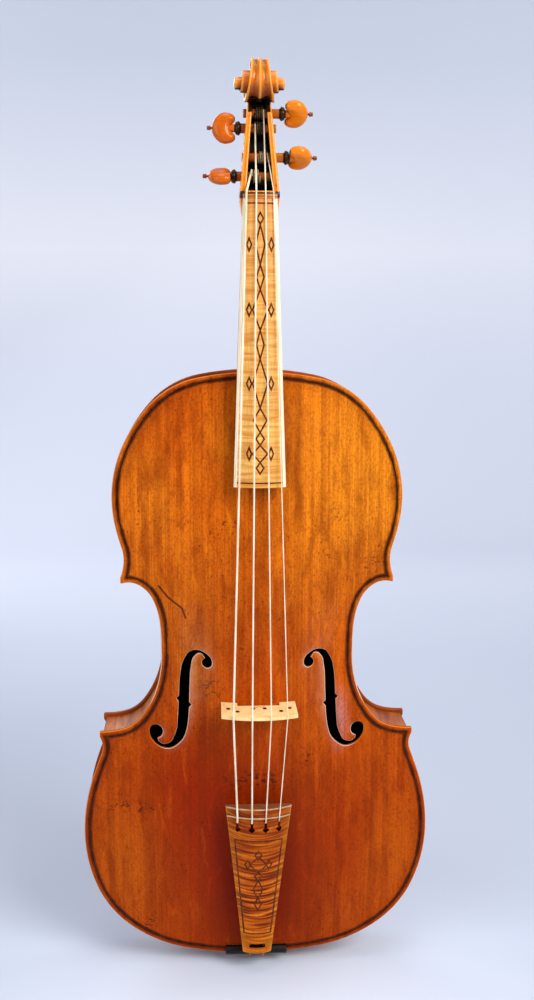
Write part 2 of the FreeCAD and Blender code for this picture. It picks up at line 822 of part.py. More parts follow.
neck_levels = (
    nut_z, nut_z - size("board_length") / 4, back_of_neck + size("button_reach"), back_of_neck - reach)
neck_shaft = shaped("neck_shaft", Part.makeLoft([neck_section(z) for z in neck_levels], True, False))
heel = shaped("heel", Part.makeLoft([heel_section(*shares) for shares in HEEL_SHARES], True, False))

eye = at(size("eye_y"), size("eye_z"))
VOLUTE_RATIO = 0.84


def volute_spot(quarter):
    """Centre and point of the spiral after some quarter turns from its back."""
    radius = size("volute_radius")
    steps = 28
    centre = at(0, 0)
    for turn in range(steps, quarter, -1):
        step = radius * (VOLUTE_RATIO ** (turn - 1) - VOLUTE_RATIO ** turn)
        centre -= heading(90 * turn) * step
    centre += eye
    return centre, centre + heading(90 * quarter) * radius * VOLUTE_RATIO ** quarter


def volute_turn(first):
    """One full turn of the spiral from a quarter, closed by a short step."""
    curves = []
    for quarter in range(first, first + 4):
        start = volute_spot(quarter)[1]
        end = volute_spot(quarter + 1)[1]
        curves.append(arc(start, heading(90 * quarter + 90), end))
    curves.append(Part.LineSegment(volute_spot(first + 4)[1], volute_spot(first)[1]))
    return side_on(Part.Face(wire(curves)))


SPINE_SHARES = ((-0.0125, -0.15, 92), (0.29, -0.012, 45), (0.605, 0.15, 68), (0.856, 0.45, 80), (1, 1, 90))
THROAT_SHARES = (0.27, -0.45)
spine_top = volute_spot(0)[1]
root_y = -neck_top + size("neck_depth_at_nut")
throat_z = nut_z + size("pegbox_length")
spine = [
    (root_y + across * (spine_top.x - root_y), nut_z + up * (spine_top.z - nut_z), turn)
    for across, up, turn in SPINE_SHARES]


def joined(points):
    return [Part.LineSegment(at(*a[:2]), at(*b[:2])) for a, b in zip(points, points[1:])]


def pegbox_side():
    """Side view of the pegbox, from the nut to the throat of the scroll."""
    radius = size("volute_radius")
    inner = volute_spot(4)[1]
    corners = [
        (spine_top.x, spine_top.z), (inner.x, inner.z), (eye.x, eye.z),
        (eye.x + THROAT_SHARES[0] * radius, eye.z + THROAT_SHARES[1] * radius),
        (-neck_top + size("throat_back_step"), throat_z), (-neck_top, nut_z + size("nut_length")),
        (-neck_top, spine[0][1]), spine[0],
    ]
    return side_on(Part.Face(wire(chain(spine) + joined(corners))))


def cavity_side():
    """Side view of the pegbox's hollow, open to the front."""
    floor = [arc(*bend[:3]) for bend in bends(spine[1:], size("pegbox_floor"))]
    low = bends(spine[1:2] + spine[2:3], size("pegbox_floor"))[0][0]
    high = at(spine_top.x - size("pegbox_floor"), spine_top.z)
    front = -neck_top - reach
    corners = [(high.x, high.z), (front, high.z), (front, low.z), (low.x, low.z)]
    return side_on(Part.Face(wire(floor + joined(corners))))


def symmetric(points):
    """A face through points on the treble side and their mirror images."""
    return polygon(list(points) + [(-x, z) for x, z in reversed(points)])


head_front = shaped("head_front", symmetric((
    (size("board_width_at_nut / 2"), nut_z - size("neck_depth_at_nut")),
    (size("pegbox_width_at_nut / 2"), nut_z + size("nut_length / 2")),
    (size("pegbox_width_at_throat / 2"), throat_z),
    (size("scroll_top_width / 2"), eye.z + size("volute_radius")),
)))
head_space = extruded("head_space", head_front, ALONG_Y, DEEP, DEEP)
cavity_front = shaped("cavity_front", symmetric((
    (size("cavity_width_at_nut / 2"), nut_z + size("cavity_start")),
    (size("cavity_width_at_throat / 2"), throat_z + size("peg_tip_diameter")),
)))
cavity_space = extruded("cavity_space", cavity_front, ALONG_Y, DEEP, DEEP)
WIDE = "pegbox_width_at_nut"


def across(name, face, width):
    """A prism of a side view, centred on the middle of the instrument."""
    return extruded(name, shaped(name + "_side", face), ALONG_X, "(%s) / 2" % width, "(%s) / 2" % width)


pegbox_blank = fuse("pegbox_blank", [
    across("pegbox_slab", pegbox_side(), WIDE), across("scroll_slab", volute_turn(0), WIDE)])
neck_root = fuse("neck_root", [neck_shaft, heel])
neck_pieces = [neck_root, join("Common", "pegbox_solid", pegbox_blank, head_space)]
for name, first, width in (
    ("front_turn", 2, "(scroll_top_width + chin_width) / 2"), ("chin_turn", 3, "chin_width"),
    ("second_turn", 5, "second_turn_width"), ("third_turn", 7, "third_turn_width"),
):
    neck_pieces.append(across(name, volute_turn(first), width))
eye_rod = doc.addObject("Part::Cylinder", "eye_rod")
eye_rod.Placement.Rotation = FreeCAD.Rotation(ALONG_Y, 90)
bind(eye_rod, Radius="eye_radius", Height="eye_width")
place(eye_rod, "-eye_width / 2", "eye_y", "eye_z")
neck_blank = fuse("neck_blank", neck_pieces + [eye_rod])
body_space = prism("body_space", whole_face(size("overhang")), 1, "2 * " + DEEP, -size(DEEP))
neck_cut = join("Cut", "neck_cut", neck_blank, body_space)
cavity = join("Common", "cavity", across("cavity_slab", cavity_side(), WIDE), cavity_space)
neck_hollowed = join("Cut", "neck_hollowed", neck_cut, cavity)

# Pegs: places above the nut and behind the front of the neck, head turns, and windings

PEGS = {
    "c": {"side": -1, "turn": 68, "tip": "low_tip_reach", "gap": "bass_collar_gap", "turns": 3},
    "g": {"side": -1, "turn": 4, "tip": "high_tip_reach", "gap": "bass_collar_gap", "turns": 3.5},
    "d": {"side": 1, "turn": 43, "tip": "high_tip_reach", "gap": "treble_collar_gap", "turns": 4},
    "a": {"side": 1, "turn": 58, "tip": "low_tip_reach", "gap": "treble_collar_gap", "turns": 5},
}
HEAD_SHARES = ((0.21, 0, 90), (0.02, 0.57, 125), (0.055, 0.81, 62), (0.4, 1, 0), (1, 0, -90))
HEAD_LENS_SHARE = 0.76
HEAD_STEM_SHARE = 0.38
PIP_STEM_SHARE = 0.5
PIP_END_SHARE = 0.8


def cheek(name):
    """The rule for half the width of the pegbox at a peg."""
    return ("(pegbox_width_at_nut / 2 + (peg_%s_rise - nut_length / 2) / (pegbox_length - nut_length / 2)"
            " * (pegbox_width_at_throat - pegbox_width_at_nut) / 2)" % name)


def seat_peg(thing, name):
    """Stand a piece that is drawn along X at its peg's place in the pegbox."""
    facing = FreeCAD.Rotation(ALONG_Z, 0 if PEGS[name]["side"] > 0 else 180)
    thing.Placement.Rotation = FreeCAD.Rotation(ALONG_X, PEGS[name]["turn"]) * facing
    return place(thing, "0", "peg_%s_back - neck_rise - rib_height / 2" % name, "nut_z + peg_%s_rise" % name)


def along_x_cone(name, start, radius, end_radius, span):
    cone = doc.addObject("Part::Cone", name)
    cone.Placement.Rotation = FreeCAD.Rotation(ALONG_Y, 90)
    bind(cone, Radius1=radius, Radius2=end_radius, Height=span)
    return place(cone, start)


def peg_head(name, start):
    """The heart-shaped head, thinner towards its rim."""
    long_side = size("peg_head_length")
    half = size("peg_head_width / 2")
    low = size(start)
    nodes = [(low + along * long_side, up * half, turn) for along, up, turn in HEAD_SHARES]
    upper = [curve.toShape() for curve in chain(nodes)]
    lower = [edge.mirror(ORIGIN, ALONG_Z) for edge in upper]
    outline = shaped("head_outline_" + name, Part.Face(Part.Wire(Part.__sortEdges__(upper + lower))))
    slab = extruded("head_slab_" + name, outline, ALONG_Y, "peg_head_thickness / 2", "peg_head_thickness / 2")
    lens = doc.addObject("Part::Ellipsoid", "head_lens_" + name)
    share = "%g * " % HEAD_LENS_SHARE
    bind(lens, Radius1=share + "peg_head_width", Radius2=share + "peg_head_length",
         Radius3="peg_head_thickness / 2")
    place(lens, start + " + peg_head_length / 2")
    return join("Common", "head_" + name, slab, lens)


def make_peg(name):
    """A peg, its pip and the hole that it runs in."""
    tip = PEGS[name]["tip"]
    low = "-(%s + %s)" % (cheek(name), tip)
    collar = "%s + %s" % (cheek(name), PEGS[name]["gap"])
    start = collar + " + peg_collar_width"
    stem = "%g * peg_diameter" % HEAD_STEM_SHARE
    body = doc.addObject("PartDesign::Body", "peg_shaft_" + name)
    profile = body_sketch(body, "peg_profile_" + name, "XY_Plane")
    draw(profile, (
        (low, "0"), (low, "peg_tip_diameter / 2"),
        (collar, "peg_diameter / 2"), (collar, "peg_collar_diameter / 2"),
        (start, "peg_collar_diameter / 2"), (start, stem), (start + " + peg_head_length / 2", stem),
        (start + " + peg_head_length / 2", "0"),
    ))
    turned = feature(body, "Revolution", "peg_turned_" + name, profile)
    turned.ReferenceAxis = (profile, ["H_Axis"])
    turned.Angle = 360
    end = start + " + peg_head_length"
    pip_radius = "peg_pip_diameter / 2"
    pip_stem = "%g * peg_pip_diameter / 2" % PIP_STEM_SHARE
    stem_rod = along_x_cone(
        "pip_stem_" + name, end + " - peg_pip_stem / 2", pip_stem, pip_stem, "peg_pip_stem")
    pip_rod = along_x_cone(
        "pip_head_" + name, end + " + peg_pip_stem / 2", pip_radius, "%g * %s" % (PIP_END_SHARE, pip_radius),
        "peg_pip_length")
    pip = seat_peg(fuse("peg_pip_" + name, [stem_rod, pip_rod]), name)
    blank = fuse("peg_blank_" + name, [body, peg_head(name, start)])
    hole = doc.addObject("Part::Cylinder", "string_hole_" + name)
    hole.Placement.Rotation = FreeCAD.Rotation(ALONG_X, -90)
    bind(hole, Radius="peg_string_hole / 2", Height="2 * peg_diameter")
    place(hole, "0", "-peg_diameter")
    peg = join("Cut", "peg_" + name, blank, fuse("peg_cuts_" + name, [hole, stem_rod]))
    seat_peg(peg, name)
    bore = along_x_cone(
        "peg_bore_" + name, low, "peg_tip_diameter / 2 + peg_fit", "peg_diameter / 2 + peg_fit",
        "2 * %s + %s + %s" % (cheek(name), tip, PEGS[name]["gap"]))
    seat = doc.addObject("Part::Compound", "peg_seat_" + name)
    seat.Links = [bore]
    seat_peg(seat, name)
    return seat


peg_seats = [make_peg(name) for name in PEGS]

# Nails from the top block into the heel

NAIL_HEAD_SHARE = 1.6
nails = []
for number in (-1, 0, 1):
    start = "body_length - %s - top_block_depth" % INSIDE.replace(" +", " -")
    for part, radius, span in (("shank", "nail_diameter / 2", "nail_length"),
                               ("head", "%g * nail_diameter / 2" % NAIL_HEAD_SHARE, "nail_diameter / 2")):
        rod = doc.addObject("Part::Cylinder", "nail_%s_%d" % (part, number + 2))
        bind(rod, Radius=radius, Height=span)
        place(rod, "0", "%d * nail_spacing" % number, start)
        nails.append(rod)
nail_set = fuse("neck_nails", nails)

# End button: a turned plug, a waist for the gut and a round head below the body

button_body = doc.addObject("PartDesign::Body", "end_button")
button_profile = body_sketch(button_body, "end_button_profile", "XZ_Plane")
NECK_FOOT = "overhang - end_button_neck_length"
draw(button_profile, (
    ("0", "overhang + end_button_plug_length"),
    ("0", NECK_FOOT + " - end_button_head"),
    ("end_button_diameter / 2", NECK_FOOT + " - end_button_head"),
    ("end_button_diameter / 2", NECK_FOOT),
    ("end_button_neck / 2", NECK_FOOT),
    ("end_button_neck / 2", "overhang"),
    ("end_button_plug / 2", "overhang"),
    ("end_button_plug_tip / 2", "overhang + end_button_plug_length"),
))
button_turned = feature(button_body, "Revolution", "end_button_turned", button_profile)
button_turned.ReferenceAxis = (button_profile, ["V_Axis"])
button_turned.Angle = 360
plug_bore = doc.addObject("Part::Cone", "plug_bore")
bind(plug_bore, Radius1="end_button_plug / 2 + peg_fit", Radius2="end_button_plug_tip / 2 + peg_fit",
     Height="end_button_plug_length")
place(plug_bore, "0", "0", "overhang")

rib_lower_treble = join("Cut", "rib_lower_treble", rib_lower, plug_bore)
mirror_image("rib_lower_bass", rib_lower_treble)
join("Cut", "end_block", end_block_solid, plug_bore)
rib_upper_treble = join("Cut", "rib_upper_treble", rib_upper, nail_set)
mirror_image("rib_upper_bass", rib_upper_treble)
join("Cut", "top_block", top_block_solid, nail_set)
join("Cut", "neck_and_scroll", neck_hollowed, fuse("neck_bores", peg_seats + [nail_set]))

# Saddle: a dark bar let into the lower edge of the belly

saddle_body = doc.addObject("PartDesign::Body", "saddle")
saddle_profile = body_sketch(saddle_body, "saddle_profile", "YZ_Plane")
SADDLE_TOP = "rib_height / 2 + belly_edge + saddle_rise"
draw(saddle_profile, (
    ("-rib_height / 2", "0"), ("-rib_height / 2", "saddle_depth"),
    ("saddle_rise / 2 - (%s)" % SADDLE_TOP, "saddle_depth"),
    ("-(%s)" % SADDLE_TOP, "saddle_depth - saddle_rise / 2"),
    ("-(%s)" % SADDLE_TOP, "saddle_rise / 2"),
    ("saddle_rise / 2 - (%s)" % SADDLE_TOP, "0"),
))
saddle_pad = feature(saddle_body, "Pad", "saddle_pad", saddle_profile, Length="saddle_width")
saddle_pad.Midplane = True

# Plates fitted to the neck and the saddle

neck_foot = join("Cut", "neck_foot", neck_root, body_space)
belly_notched = join("Cut", "belly_notched", join("Cut", "belly_cut", belly_grooved, saddle_body), neck_foot)
belly_treble_half = join("Cut", "belly_treble_half", belly_notched, sound_hole_cut)
mirror_image("belly_bass_half", belly_treble_half)
back_treble_half = doc.addObject("Part::Compound", "back_treble_half")
back_treble_half.Links = [back_grooved]
mirror_image("back_bass_half", back_grooved)
belly_strip_cut = join("Cut", "belly_strip_cut", belly_strip, saddle_body)
pair("purfling_belly", join("Cut", "belly_strip_fitted", belly_strip_cut, neck_foot))
pair("purfling_back", back_strip)


def topped_section(half, low, top, radius, z):
    """A level section with upright sides and an arc over its front; low and top are measured forwards."""
    edge = top - radius + math.sqrt(radius ** 2 - half ** 2)
    lines = joined([(-half, edge), (-half, low), (half, low), (half, edge)])
    crown = Part.ArcOfCircle(at(half, edge), at(0, top), at(-half, edge))
    return wire(lines + [crown]).rotated(ORIGIN, ALONG_X, 90).translated(ALONG_Z * z)


def tapered(name, sections):
    """A solid with straight sides between two sections."""
    return shaped(name, Part.makeLoft([topped_section(*section) for section in sections], True, True))


# Nut and fingerboard

tapered("nut", (
    (size("board_width_at_nut / 2"), neck_top, neck_top + size("nut_height"), size("nut_radius"), nut_z),
    (size("board_width_at_nut / 2"), neck_top, neck_top + size("nut_height - nut_fall"), size("nut_radius"),
     nut_z + size("nut_length")),
))


def board(name, drop):
    """The fingerboard's wedge with its face lowered by a drop."""
    low = (size("board_width_at_end / 2"), neck_top, neck_top + size("board_height_at_end") - drop)
    high = (size("board_width_at_nut / 2"), neck_top, neck_top + size("board_height_at_nut") - drop)
    return tapered(name, (low + (size("board_radius"), board_end_z), high + (size("board_radius"), nut_z)))


board_full = board("board_full", 0)
board_core = board("board_core", size("veneer_thickness"))
free_z = nut_z - size("board_glued_length")
under_y = -neck_top - size("board_height_at_end - board_end_thickness")
undercut = across("undercut", side_on(polygon((
    (-neck_top, free_z), (under_y, board_end_z), (under_y, board_end_z - reach), (reach, board_end_z - reach),
    (reach, free_z)))), "2 * board_width_at_end")
join("Cut", "fingerboard_core", board_core, undercut)
board_layer = join("Cut", "board_layer", board_full, board_core)
strip_width = size("edge_strip_width")
veneer_front = shaped("veneer_front", symmetric([
    (board_half_width(z) - strip_width, z) for z in (board_end_z, nut_z)]))
veneer_space = extruded("veneer_space", veneer_front, ALONG_Y, DEEP, DEEP)
board_edges = join("Cut", "board_edges", board_layer, veneer_space)
for name, low in (("bass", "-board_width_at_end"), ("treble", "0")):
    half_space = box("board_side_" + name, (low, "-" + DEEP, "nut_z - board_length"),
                     ("board_width_at_end", DEEP, "board_length"))
    join("Common", "fingerboard_edge_" + name, board_edges, half_space)
veneer_blank = join("Common", "veneer_blank", board_layer, veneer_space)
inlay_floor = board("inlay_floor", size("inlay_depth"))


def lozenge(x, z, half_x, half_z, line):
    """A lozenge drawn with a line of an even width."""
    slant = math.hypot(half_x, half_z)
    faces = []
    for shift in (line / 2, -line / 2):
        wide = half_x + shift * slant / half_z
        tall = half_z + shift * slant / half_x
        faces.append(polygon(((x + wide, z), (x, z + tall), (x - wide, z), (x, z - tall))))
    return faces[0].cut(faces[1])


def bar(x, z, half_x, half_z):
    """A plain rectangle about (x, z)."""
    return polygon([(x - half_x, z - half_z), (x + half_x, z - half_z),
                    (x + half_x, z + half_z), (x - half_x, z + half_z)])


def pattern(name, faces, front, back):
    """Line work as one set of prisms that reach forwards and backwards."""
    lines = [shaped("%s_line_%d" % (name, n), face) for n, face in enumerate(faces)]
    return fuse(name, [
        extruded("%s_%d" % (name, n), line, -ALONG_Y, front, back) for n, line in enumerate(lines)])


# A chain down the fingerboard: where each lozenge starts and ends, and its share of the full width
CHAIN_SHARES = (
    (0.048, 0.089, 0.4), (0.089, 0.225, 0.62), (0.225, 0.31, 0.5), (0.31, 0.45, 1), (0.45, 0.55, 0.5),
    (0.55, 0.72, 1), (0.72, 0.805, 0.9), (0.805, 0.85, 0.55), (0.85, 0.91, 1), (0.91, 0.95, 0.5),
)
SIDE_SHARES = (0.157, 0.38, 0.635, 0.88)
SIDE_OUT_SHARE = 1.46
line = size("inlay_line")
chain_half = size("chain_half_width")
board_length = size("board_length")
chain_faces = []
for start, end, share in CHAIN_SHARES:
    middle = nut_z - (start + end) / 2 * board_length
    chain_faces.append(lozenge(0, middle, share * chain_half, (end - start) / 2 * board_length, line))
for share in SIDE_SHARES:
    for side in (-1, 1):
        chain_faces.append(lozenge(side * SIDE_OUT_SHARE * chain_half, nut_z - share * board_length,
                                   size("side_lozenge_width / 2"), size("side_lozenge_length / 2"), line))
for z in (nut_z - size("cross_line_inset"), board_end_z + size("cross_line_inset")):
    chain_faces.append(bar(0, z, board_half_width(z), size("cross_line_width / 2")))
board_lines = join("Cut", "board_lines", pattern("board_pattern", chain_faces, DEEP, "0"), inlay_floor)
join("Common", "fingerboard_inlay", veneer_blank, board_lines)
join("Cut", "fingerboard_veneer", veneer_blank, board_lines)

# Bridge: a low maple plate that stands on the arch of the belly

bridge_body = doc.addObject("PartDesign::Body", "bridge_plate")
place(bridge_body, "0", "0", "bridge_z")
bridge_profile = body_sketch(bridge_body, "bridge_profile", "XY_Plane")
BRIDGE_EDGE = "bridge_top_y - bridge_radius + sqrt(bridge_radius ^ 2 - bridge_top_width ^ 2 / 4)"
ARCH_TOP = "-(rib_height / 2 + belly_edge + belly_arch + bridge_arch_height)"
BELLY_EDGE = "-(rib_height / 2 + belly_edge)"
FOOT_INNER = "bridge_width / 2 - bridge_foot_width"
draw(bridge_profile, (
    ("bridge_width / 2", BELLY_EDGE), ("bridge_top_width / 2", "-(%s)" % BRIDGE_EDGE, "-bridge_radius"),
    ("-bridge_top_width / 2", "-(%s)" % BRIDGE_EDGE), ("-bridge_width / 2", BELLY_EDGE),
    ("-(%s)" % FOOT_INNER, BELLY_EDGE), ("-(%s)" % FOOT_INNER, ARCH_TOP), (FOOT_INNER, ARCH_TOP),
    (FOOT_INNER, BELLY_EDGE),
))
bridge_pad = feature(bridge_body, "Pad", "bridge_pad", bridge_profile, Length="bridge_foot_thickness")
bridge_pad.Midplane = True
EYE_SHARES = ((0.41, 0.35), (0.29, 0.54), (0.077, 0.36))
bridge_eyes = body_sketch(bridge_body, "bridge_eyes", "XY_Plane")
CROWN = "(rib_height / 2 + belly_edge + belly_arch)"
for across_share, up_share in EYE_SHARES:
    for side in ("", "-"):
        up = "-%s - %g * (bridge_top_y - %s)" % (CROWN, up_share, CROWN)
        ring(bridge_eyes, "%s%g * bridge_width" % (side, across_share), up, "bridge_hole_diameter")
bridge_holes = feature(bridge_body, "Pocket", "bridge_holes", bridge_eyes)
bridge_holes.Type = "ThroughAll"
bridge_holes.Midplane = True
taper_edge = [
    (-rib_face, size("bridge_foot_thickness / 2")), (-size("bridge_top_y"), size("bridge_top_thickness / 2")),
    (-size("bridge_top_y + overrun"), size("bridge_top_thickness / 2"))]
bridge_z = size("bridge_z")
taper = shaped("bridge_taper_face", side_on(polygon(
    [(y, bridge_z + thick) for y, thick in taper_edge]
    + [(y, bridge_z - thick) for y, thick in reversed(taper_edge)])))
taper_space = extruded("bridge_taper", taper, ALONG_X, "bridge_width", "bridge_width")
bridge_blank = join("Common", "bridge_blank", bridge_body, taper_space)
bridge_half = join("Cut", "bridge_fitted", bridge_blank, belly_spaces["outside"])
join("Cut", "bridge", bridge_half, mirror_image("belly_outside_bass", belly_spaces["outside"]))

# Tailpiece: drawn upright with its lower end at zero, then leaned to its place over the belly

tail_length = size("tailpiece_length")
tail_height = size("tailpiece_height")
lean = math.degrees(math.asin(size("(tailpiece_top_y - tailpiece_bottom_y) / tailpiece_length")))
TAIL_FOOT_Z = "tailpiece_top_z - sqrt(tailpiece_length ^ 2 - (tailpiece_top_y - tailpiece_bottom_y) ^ 2)"


def lean_back(thing):
    thing.Placement.Rotation = FreeCAD.Rotation(ALONG_X, lean)
    return place(thing, "0", "tailpiece_height - tailpiece_bottom_y", TAIL_FOOT_Z)


def tail_spot(x, forward, up):
    """A place on the tailpiece, from how far it stands forwards and up in its own frame."""
    upright = FreeCAD.Vector(x, -forward, up)
    foot = FreeCAD.Vector(0, size("tailpiece_height - tailpiece_bottom_y"), size(TAIL_FOOT_Z))
    return FreeCAD.Rotation(ALONG_X, lean).multVec(upright) + foot


def tail_half_width(up):
    low = size("tailpiece_bottom_width / 2")
    return low + up / tail_length * (size("tailpiece_top_width / 2") - low)


def tail_radius(up):
    low = size("tailpiece_bottom_radius")
    return low + up / tail_length * (size("tailpiece_top_radius") - low)


def tail_layer(name, rise):
    """The tailpiece's solid with its face raised by a rise, or lowered if it is negative."""
    return tapered(name, [(tail_half_width(up), 0, tail_height + rise, tail_radius(up) + rise, up)
                          for up in (0, tail_length)])


def hollow_section(up):
    """A section of the space under the tailpiece's arch: a chord and an arc."""
    radius = tail_radius(up) - wall
    crest = tail_height - wall
    half = math.sqrt(radius ** 2 - (radius - crest) ** 2)
    chord = Part.LineSegment(at(-half, 0), at(half, 0))
    crown = Part.ArcOfCircle(at(half, 0), at(0, crest), at(-half, 0))
    return wire([chord, crown]).rotated(ORIGIN, ALONG_X, 90).translated(ALONG_Z * up)


wall = size("tailpiece_wall")
slot_z = size("gut_slot_from_bottom")
hollow_low = slot_z + 2 * wall
tail_full = tail_layer("tail_full", 0)
tail_hollow = shaped("tail_hollow", Part.makeLoft(
    [hollow_section(hollow_low), hollow_section(tail_length - wall)], True, True))
KEYHOLE_SHARES = {"c": -0.321, "g": -0.104, "d": 0.106, "a": 0.31}
keyhole_z = tail_length - size("keyhole_from_top")
slot_half = size("keyhole_slot_width / 2")
tail_cuts = []
for share in KEYHOLE_SHARES.values():
    x = share * size("tailpiece_top_width")
    half = size("keyhole_size / 2")
    slot_reach = size("keyhole_slot_length / 2")
    tail_cuts.append(polygon((
        (x + half, keyhole_z), (x, keyhole_z + half), (x - half, keyhole_z), (x, keyhole_z - half))))
    tail_cuts.append(bar(x, keyhole_z + slot_reach, slot_half, slot_reach))
tail_cuts.append(bar(0, slot_z, size("gut_slot_width / 2"), size("gut_slot_height / 2")))
tail_openings = pattern("tail_openings", tail_cuts, "2 * tailpiece_height", "tailpiece_height")
gut = size("tail_gut_diameter")
gut_x = size("end_button_neck / 2 + tail_gut_diameter / 2 + string_seat")
gut_forward = tail_height / 2
gut_tunnels = []
for side in (-1, 1):
    tunnel = doc.addObject("Part::Cylinder", "gut_tunnel_bass" if side < 0 else "gut_tunnel_treble")
    bind(tunnel, Radius="tail_gut_diameter / 2 + peg_fit", Height="gut_slot_from_bottom")
    tunnel.Placement.Base = FreeCAD.Vector(side * gut_x, -gut_forward, 0)
    gut_tunnels.append(tunnel)
BAND_SIZES = ("2 * tailpiece_top_width", "3 * tailpiece_height", "tail_fret_width")
strip_box, fret_box = [
    box(name, ("-tailpiece_top_width", "-2 * tailpiece_height", "tailpiece_length - " + down), BAND_SIZES)
    for name, down in (("tail_strip_box", "tail_fret_width"), ("tail_fret_box", "tail_fret_from_top"))]
tail_tools = fuse("tail_tools", [tail_hollow, tail_openings] + gut_tunnels)
tail_shell = join("Cut", "tail_shell", tail_full, tail_tools)
lean_back(join("Common", "tailpiece_end_strip", tail_shell, strip_box))
tail_blank = join("Cut", "tail_blank", tail_shell, strip_box)
fret_layer = join("Cut", "fret_layer", tail_layer("tail_raised", size("tail_fret_height")), tail_full)
lean_back(join("Common", "tailpiece_fret", fret_layer, fret_box))

# The knot on the tailpiece, as centre and half sizes in shares of its width and length
KNOT_SHARES = (
    (0, 0.69, 0.05, 0.03), (0, 0.625, 0.13, 0.055), (-0.16, 0.625, 0.045, 0.028), (0.16, 0.625, 0.045, 0.028),
    (0, 0.545, 0.055, 0.032), (0, 0.455, 0.075, 0.065), (0, 0.355, 0.055, 0.042),
)
BORDER_SHARES = (0.14, 0.79, 0.16)
tail_width = size("tailpiece_top_width")
tail_faces = [lozenge(x * tail_width, z * tail_length, half_x * tail_width, half_z * tail_length, line)
              for x, z, half_x, half_z in KNOT_SHARES]
low, high, side_share = BORDER_SHARES


def border(inset):
    """The area inside the border line, drawn in by inset."""
    levels = [(share * tail_length, lift) for share, lift in ((low, inset), (high, -inset))]
    return symmetric([((1 - side_share) * tail_half_width(z) - inset, z + lift) for z, lift in levels])


tail_faces.append(border(0).cut(border(line)))
tail_floor = tail_layer("tail_floor", -size("inlay_depth"))
tail_pattern = pattern("tail_pattern", tail_faces, "2 * tailpiece_height", "0")
tail_lines = join("Cut", "tail_lines", tail_pattern, tail_floor)
lean_back(join("Common", "tailpiece_inlay", tail_blank, tail_lines))
lean_back(join("Cut", "tailpiece", tail_blank, tail_lines))

# Strings, tail gut and windings: straight runs joined by arcs


def bent_path(points, radii):
    """Straight runs through points, joined by tangent arcs."""
    curves = []
    start = points[0]
    for before, corner, after, radius in zip(points, points[1:], points[2:], radii):
        way = (corner - before).normalize()
        onward = (after - corner).normalize()
        half = way.getAngle(onward) / 2
        trim = radius * math.tan(half)
        arc_start = corner - way * trim
        arc_end = corner + onward * trim
        middle = corner + (onward - way).normalize() * radius * (1 / math.cos(half) - 1)
        curves.append(Part.LineSegment(start, arc_start).toShape())
        curves.append(Part.Arc(arc_start, middle, arc_end).toShape())
        start = arc_end
    curves.append(Part.LineSegment(start, points[-1]).toShape())
    return Part.Wire(curves)


def tube(path, diameter, name):
    """A round tube along a path, checked against its section and length."""
    first = path.OrderedEdges[0]
    way = first.tangentAt(first.FirstParameter)
    start = first.valueAt(first.FirstParameter)
    profile = Part.Wire(Part.Circle(start, way, diameter / 2).toShape())
    solid = path.makePipeShell([profile], True, False)
    expected = path.Length * math.pi * diameter ** 2 / 4
    print("%s: length %.1f, volume %.4f of its section times its length" % (
        name, path.Length, solid.Volume / expected))
    return solid


def lifted(point, before, after, radius):
    """A corner moved forwards so that the arc in it passes through the point."""
    half = (point - before).getAngle(after - point) / 2
    return point - ALONG_Y * radius * (1 / math.cos(half) - 1)


NUT_SHARES = {"c": -0.398, "g": -0.114, "d": 0.154, "a": 0.386}
BRIDGE_SHARES = {"c": -0.346, "g": -0.102, "d": 0.143, "a": 0.36}


def crown_y(x, top, radius):
    """Where an arched top stands at a place across it."""
    return -(top - radius + math.sqrt(radius ** 2 - x ** 2))


def winding_radius(name):
    return size("(peg_diameter + string_%s_diameter) / 2 + winding_gap" % name)


def peg_centre(name):
    back = size("peg_%s_back - neck_rise - rib_height / 2" % name)
    return FreeCAD.Vector(0, back, nut_z + size("peg_%s_rise" % name))


def string_points(name):
    """The corners of a string and the radius at each, from its knot to its peg."""
    thick = size("string_%s_diameter" % name)
    seat = size("string_seat")
    rise = thick / 2 + seat
    key_x = KEYHOLE_SHARES[name] * tail_width
    crest = crown_y(key_x, tail_height, tail_radius(keyhole_z))
    ceiling = crown_y(key_x, tail_height - wall, tail_radius(keyhole_z) - wall)
    slot_top = keyhole_z + size("keyhole_slot_length")
    knot_forward = -ceiling - size("knot_diameter / 2 + run_gap")
    knot = tail_spot(key_x, knot_forward, slot_top - size("keyhole_slot_length / 2"))
    over = tail_spot(key_x, -crest + rise + seat, slot_top - thick)
    fret_z = tail_length - size("tail_fret_from_top - tail_fret_width / 2")
    fret_forward = -crown_y(key_x, tail_height, tail_radius(fret_z)) + size("tail_fret_height") + rise
    fret = tail_spot(key_x, fret_forward, fret_z)
    bridge_x = BRIDGE_SHARES[name] * size("bridge_top_width")
    bridge_y = crown_y(bridge_x, size("bridge_top_y"), size("bridge_radius")) - rise
    bridge = FreeCAD.Vector(bridge_x, bridge_y, size("bridge_z"))
    nut_x = NUT_SHARES[name] * size("board_width_at_nut")
    nut_y = crown_y(nut_x, neck_top + size("nut_height - nut_fall"), size("nut_radius")) - rise
    nut = FreeCAD.Vector(nut_x, nut_y, nut_z + size("nut_length"))
    clear = winding_radius(name) + thick + size("run_gap")
    axis = peg_centre(name)
    away = math.hypot(axis.y - nut.y, axis.z - nut.z)
    aim = math.atan2(axis.z - nut.z, axis.y - nut.y) + math.asin(clear / away)
    span = math.sqrt(away ** 2 - clear ** 2)
    peg = FreeCAD.Vector(size("arrival_" + name), nut.y + span * math.cos(aim), nut.z + span * math.sin(aim))
    bend = size("string_bend")
    nut_bend = size("nut_bend")
    points = [knot, over, lifted(fret, over, bridge, bend), lifted(bridge, fret, nut, bend)]
    return points + [lifted(nut, bridge, peg, nut_bend), peg], [size("keyhole_bend"), bend, bend, nut_bend]


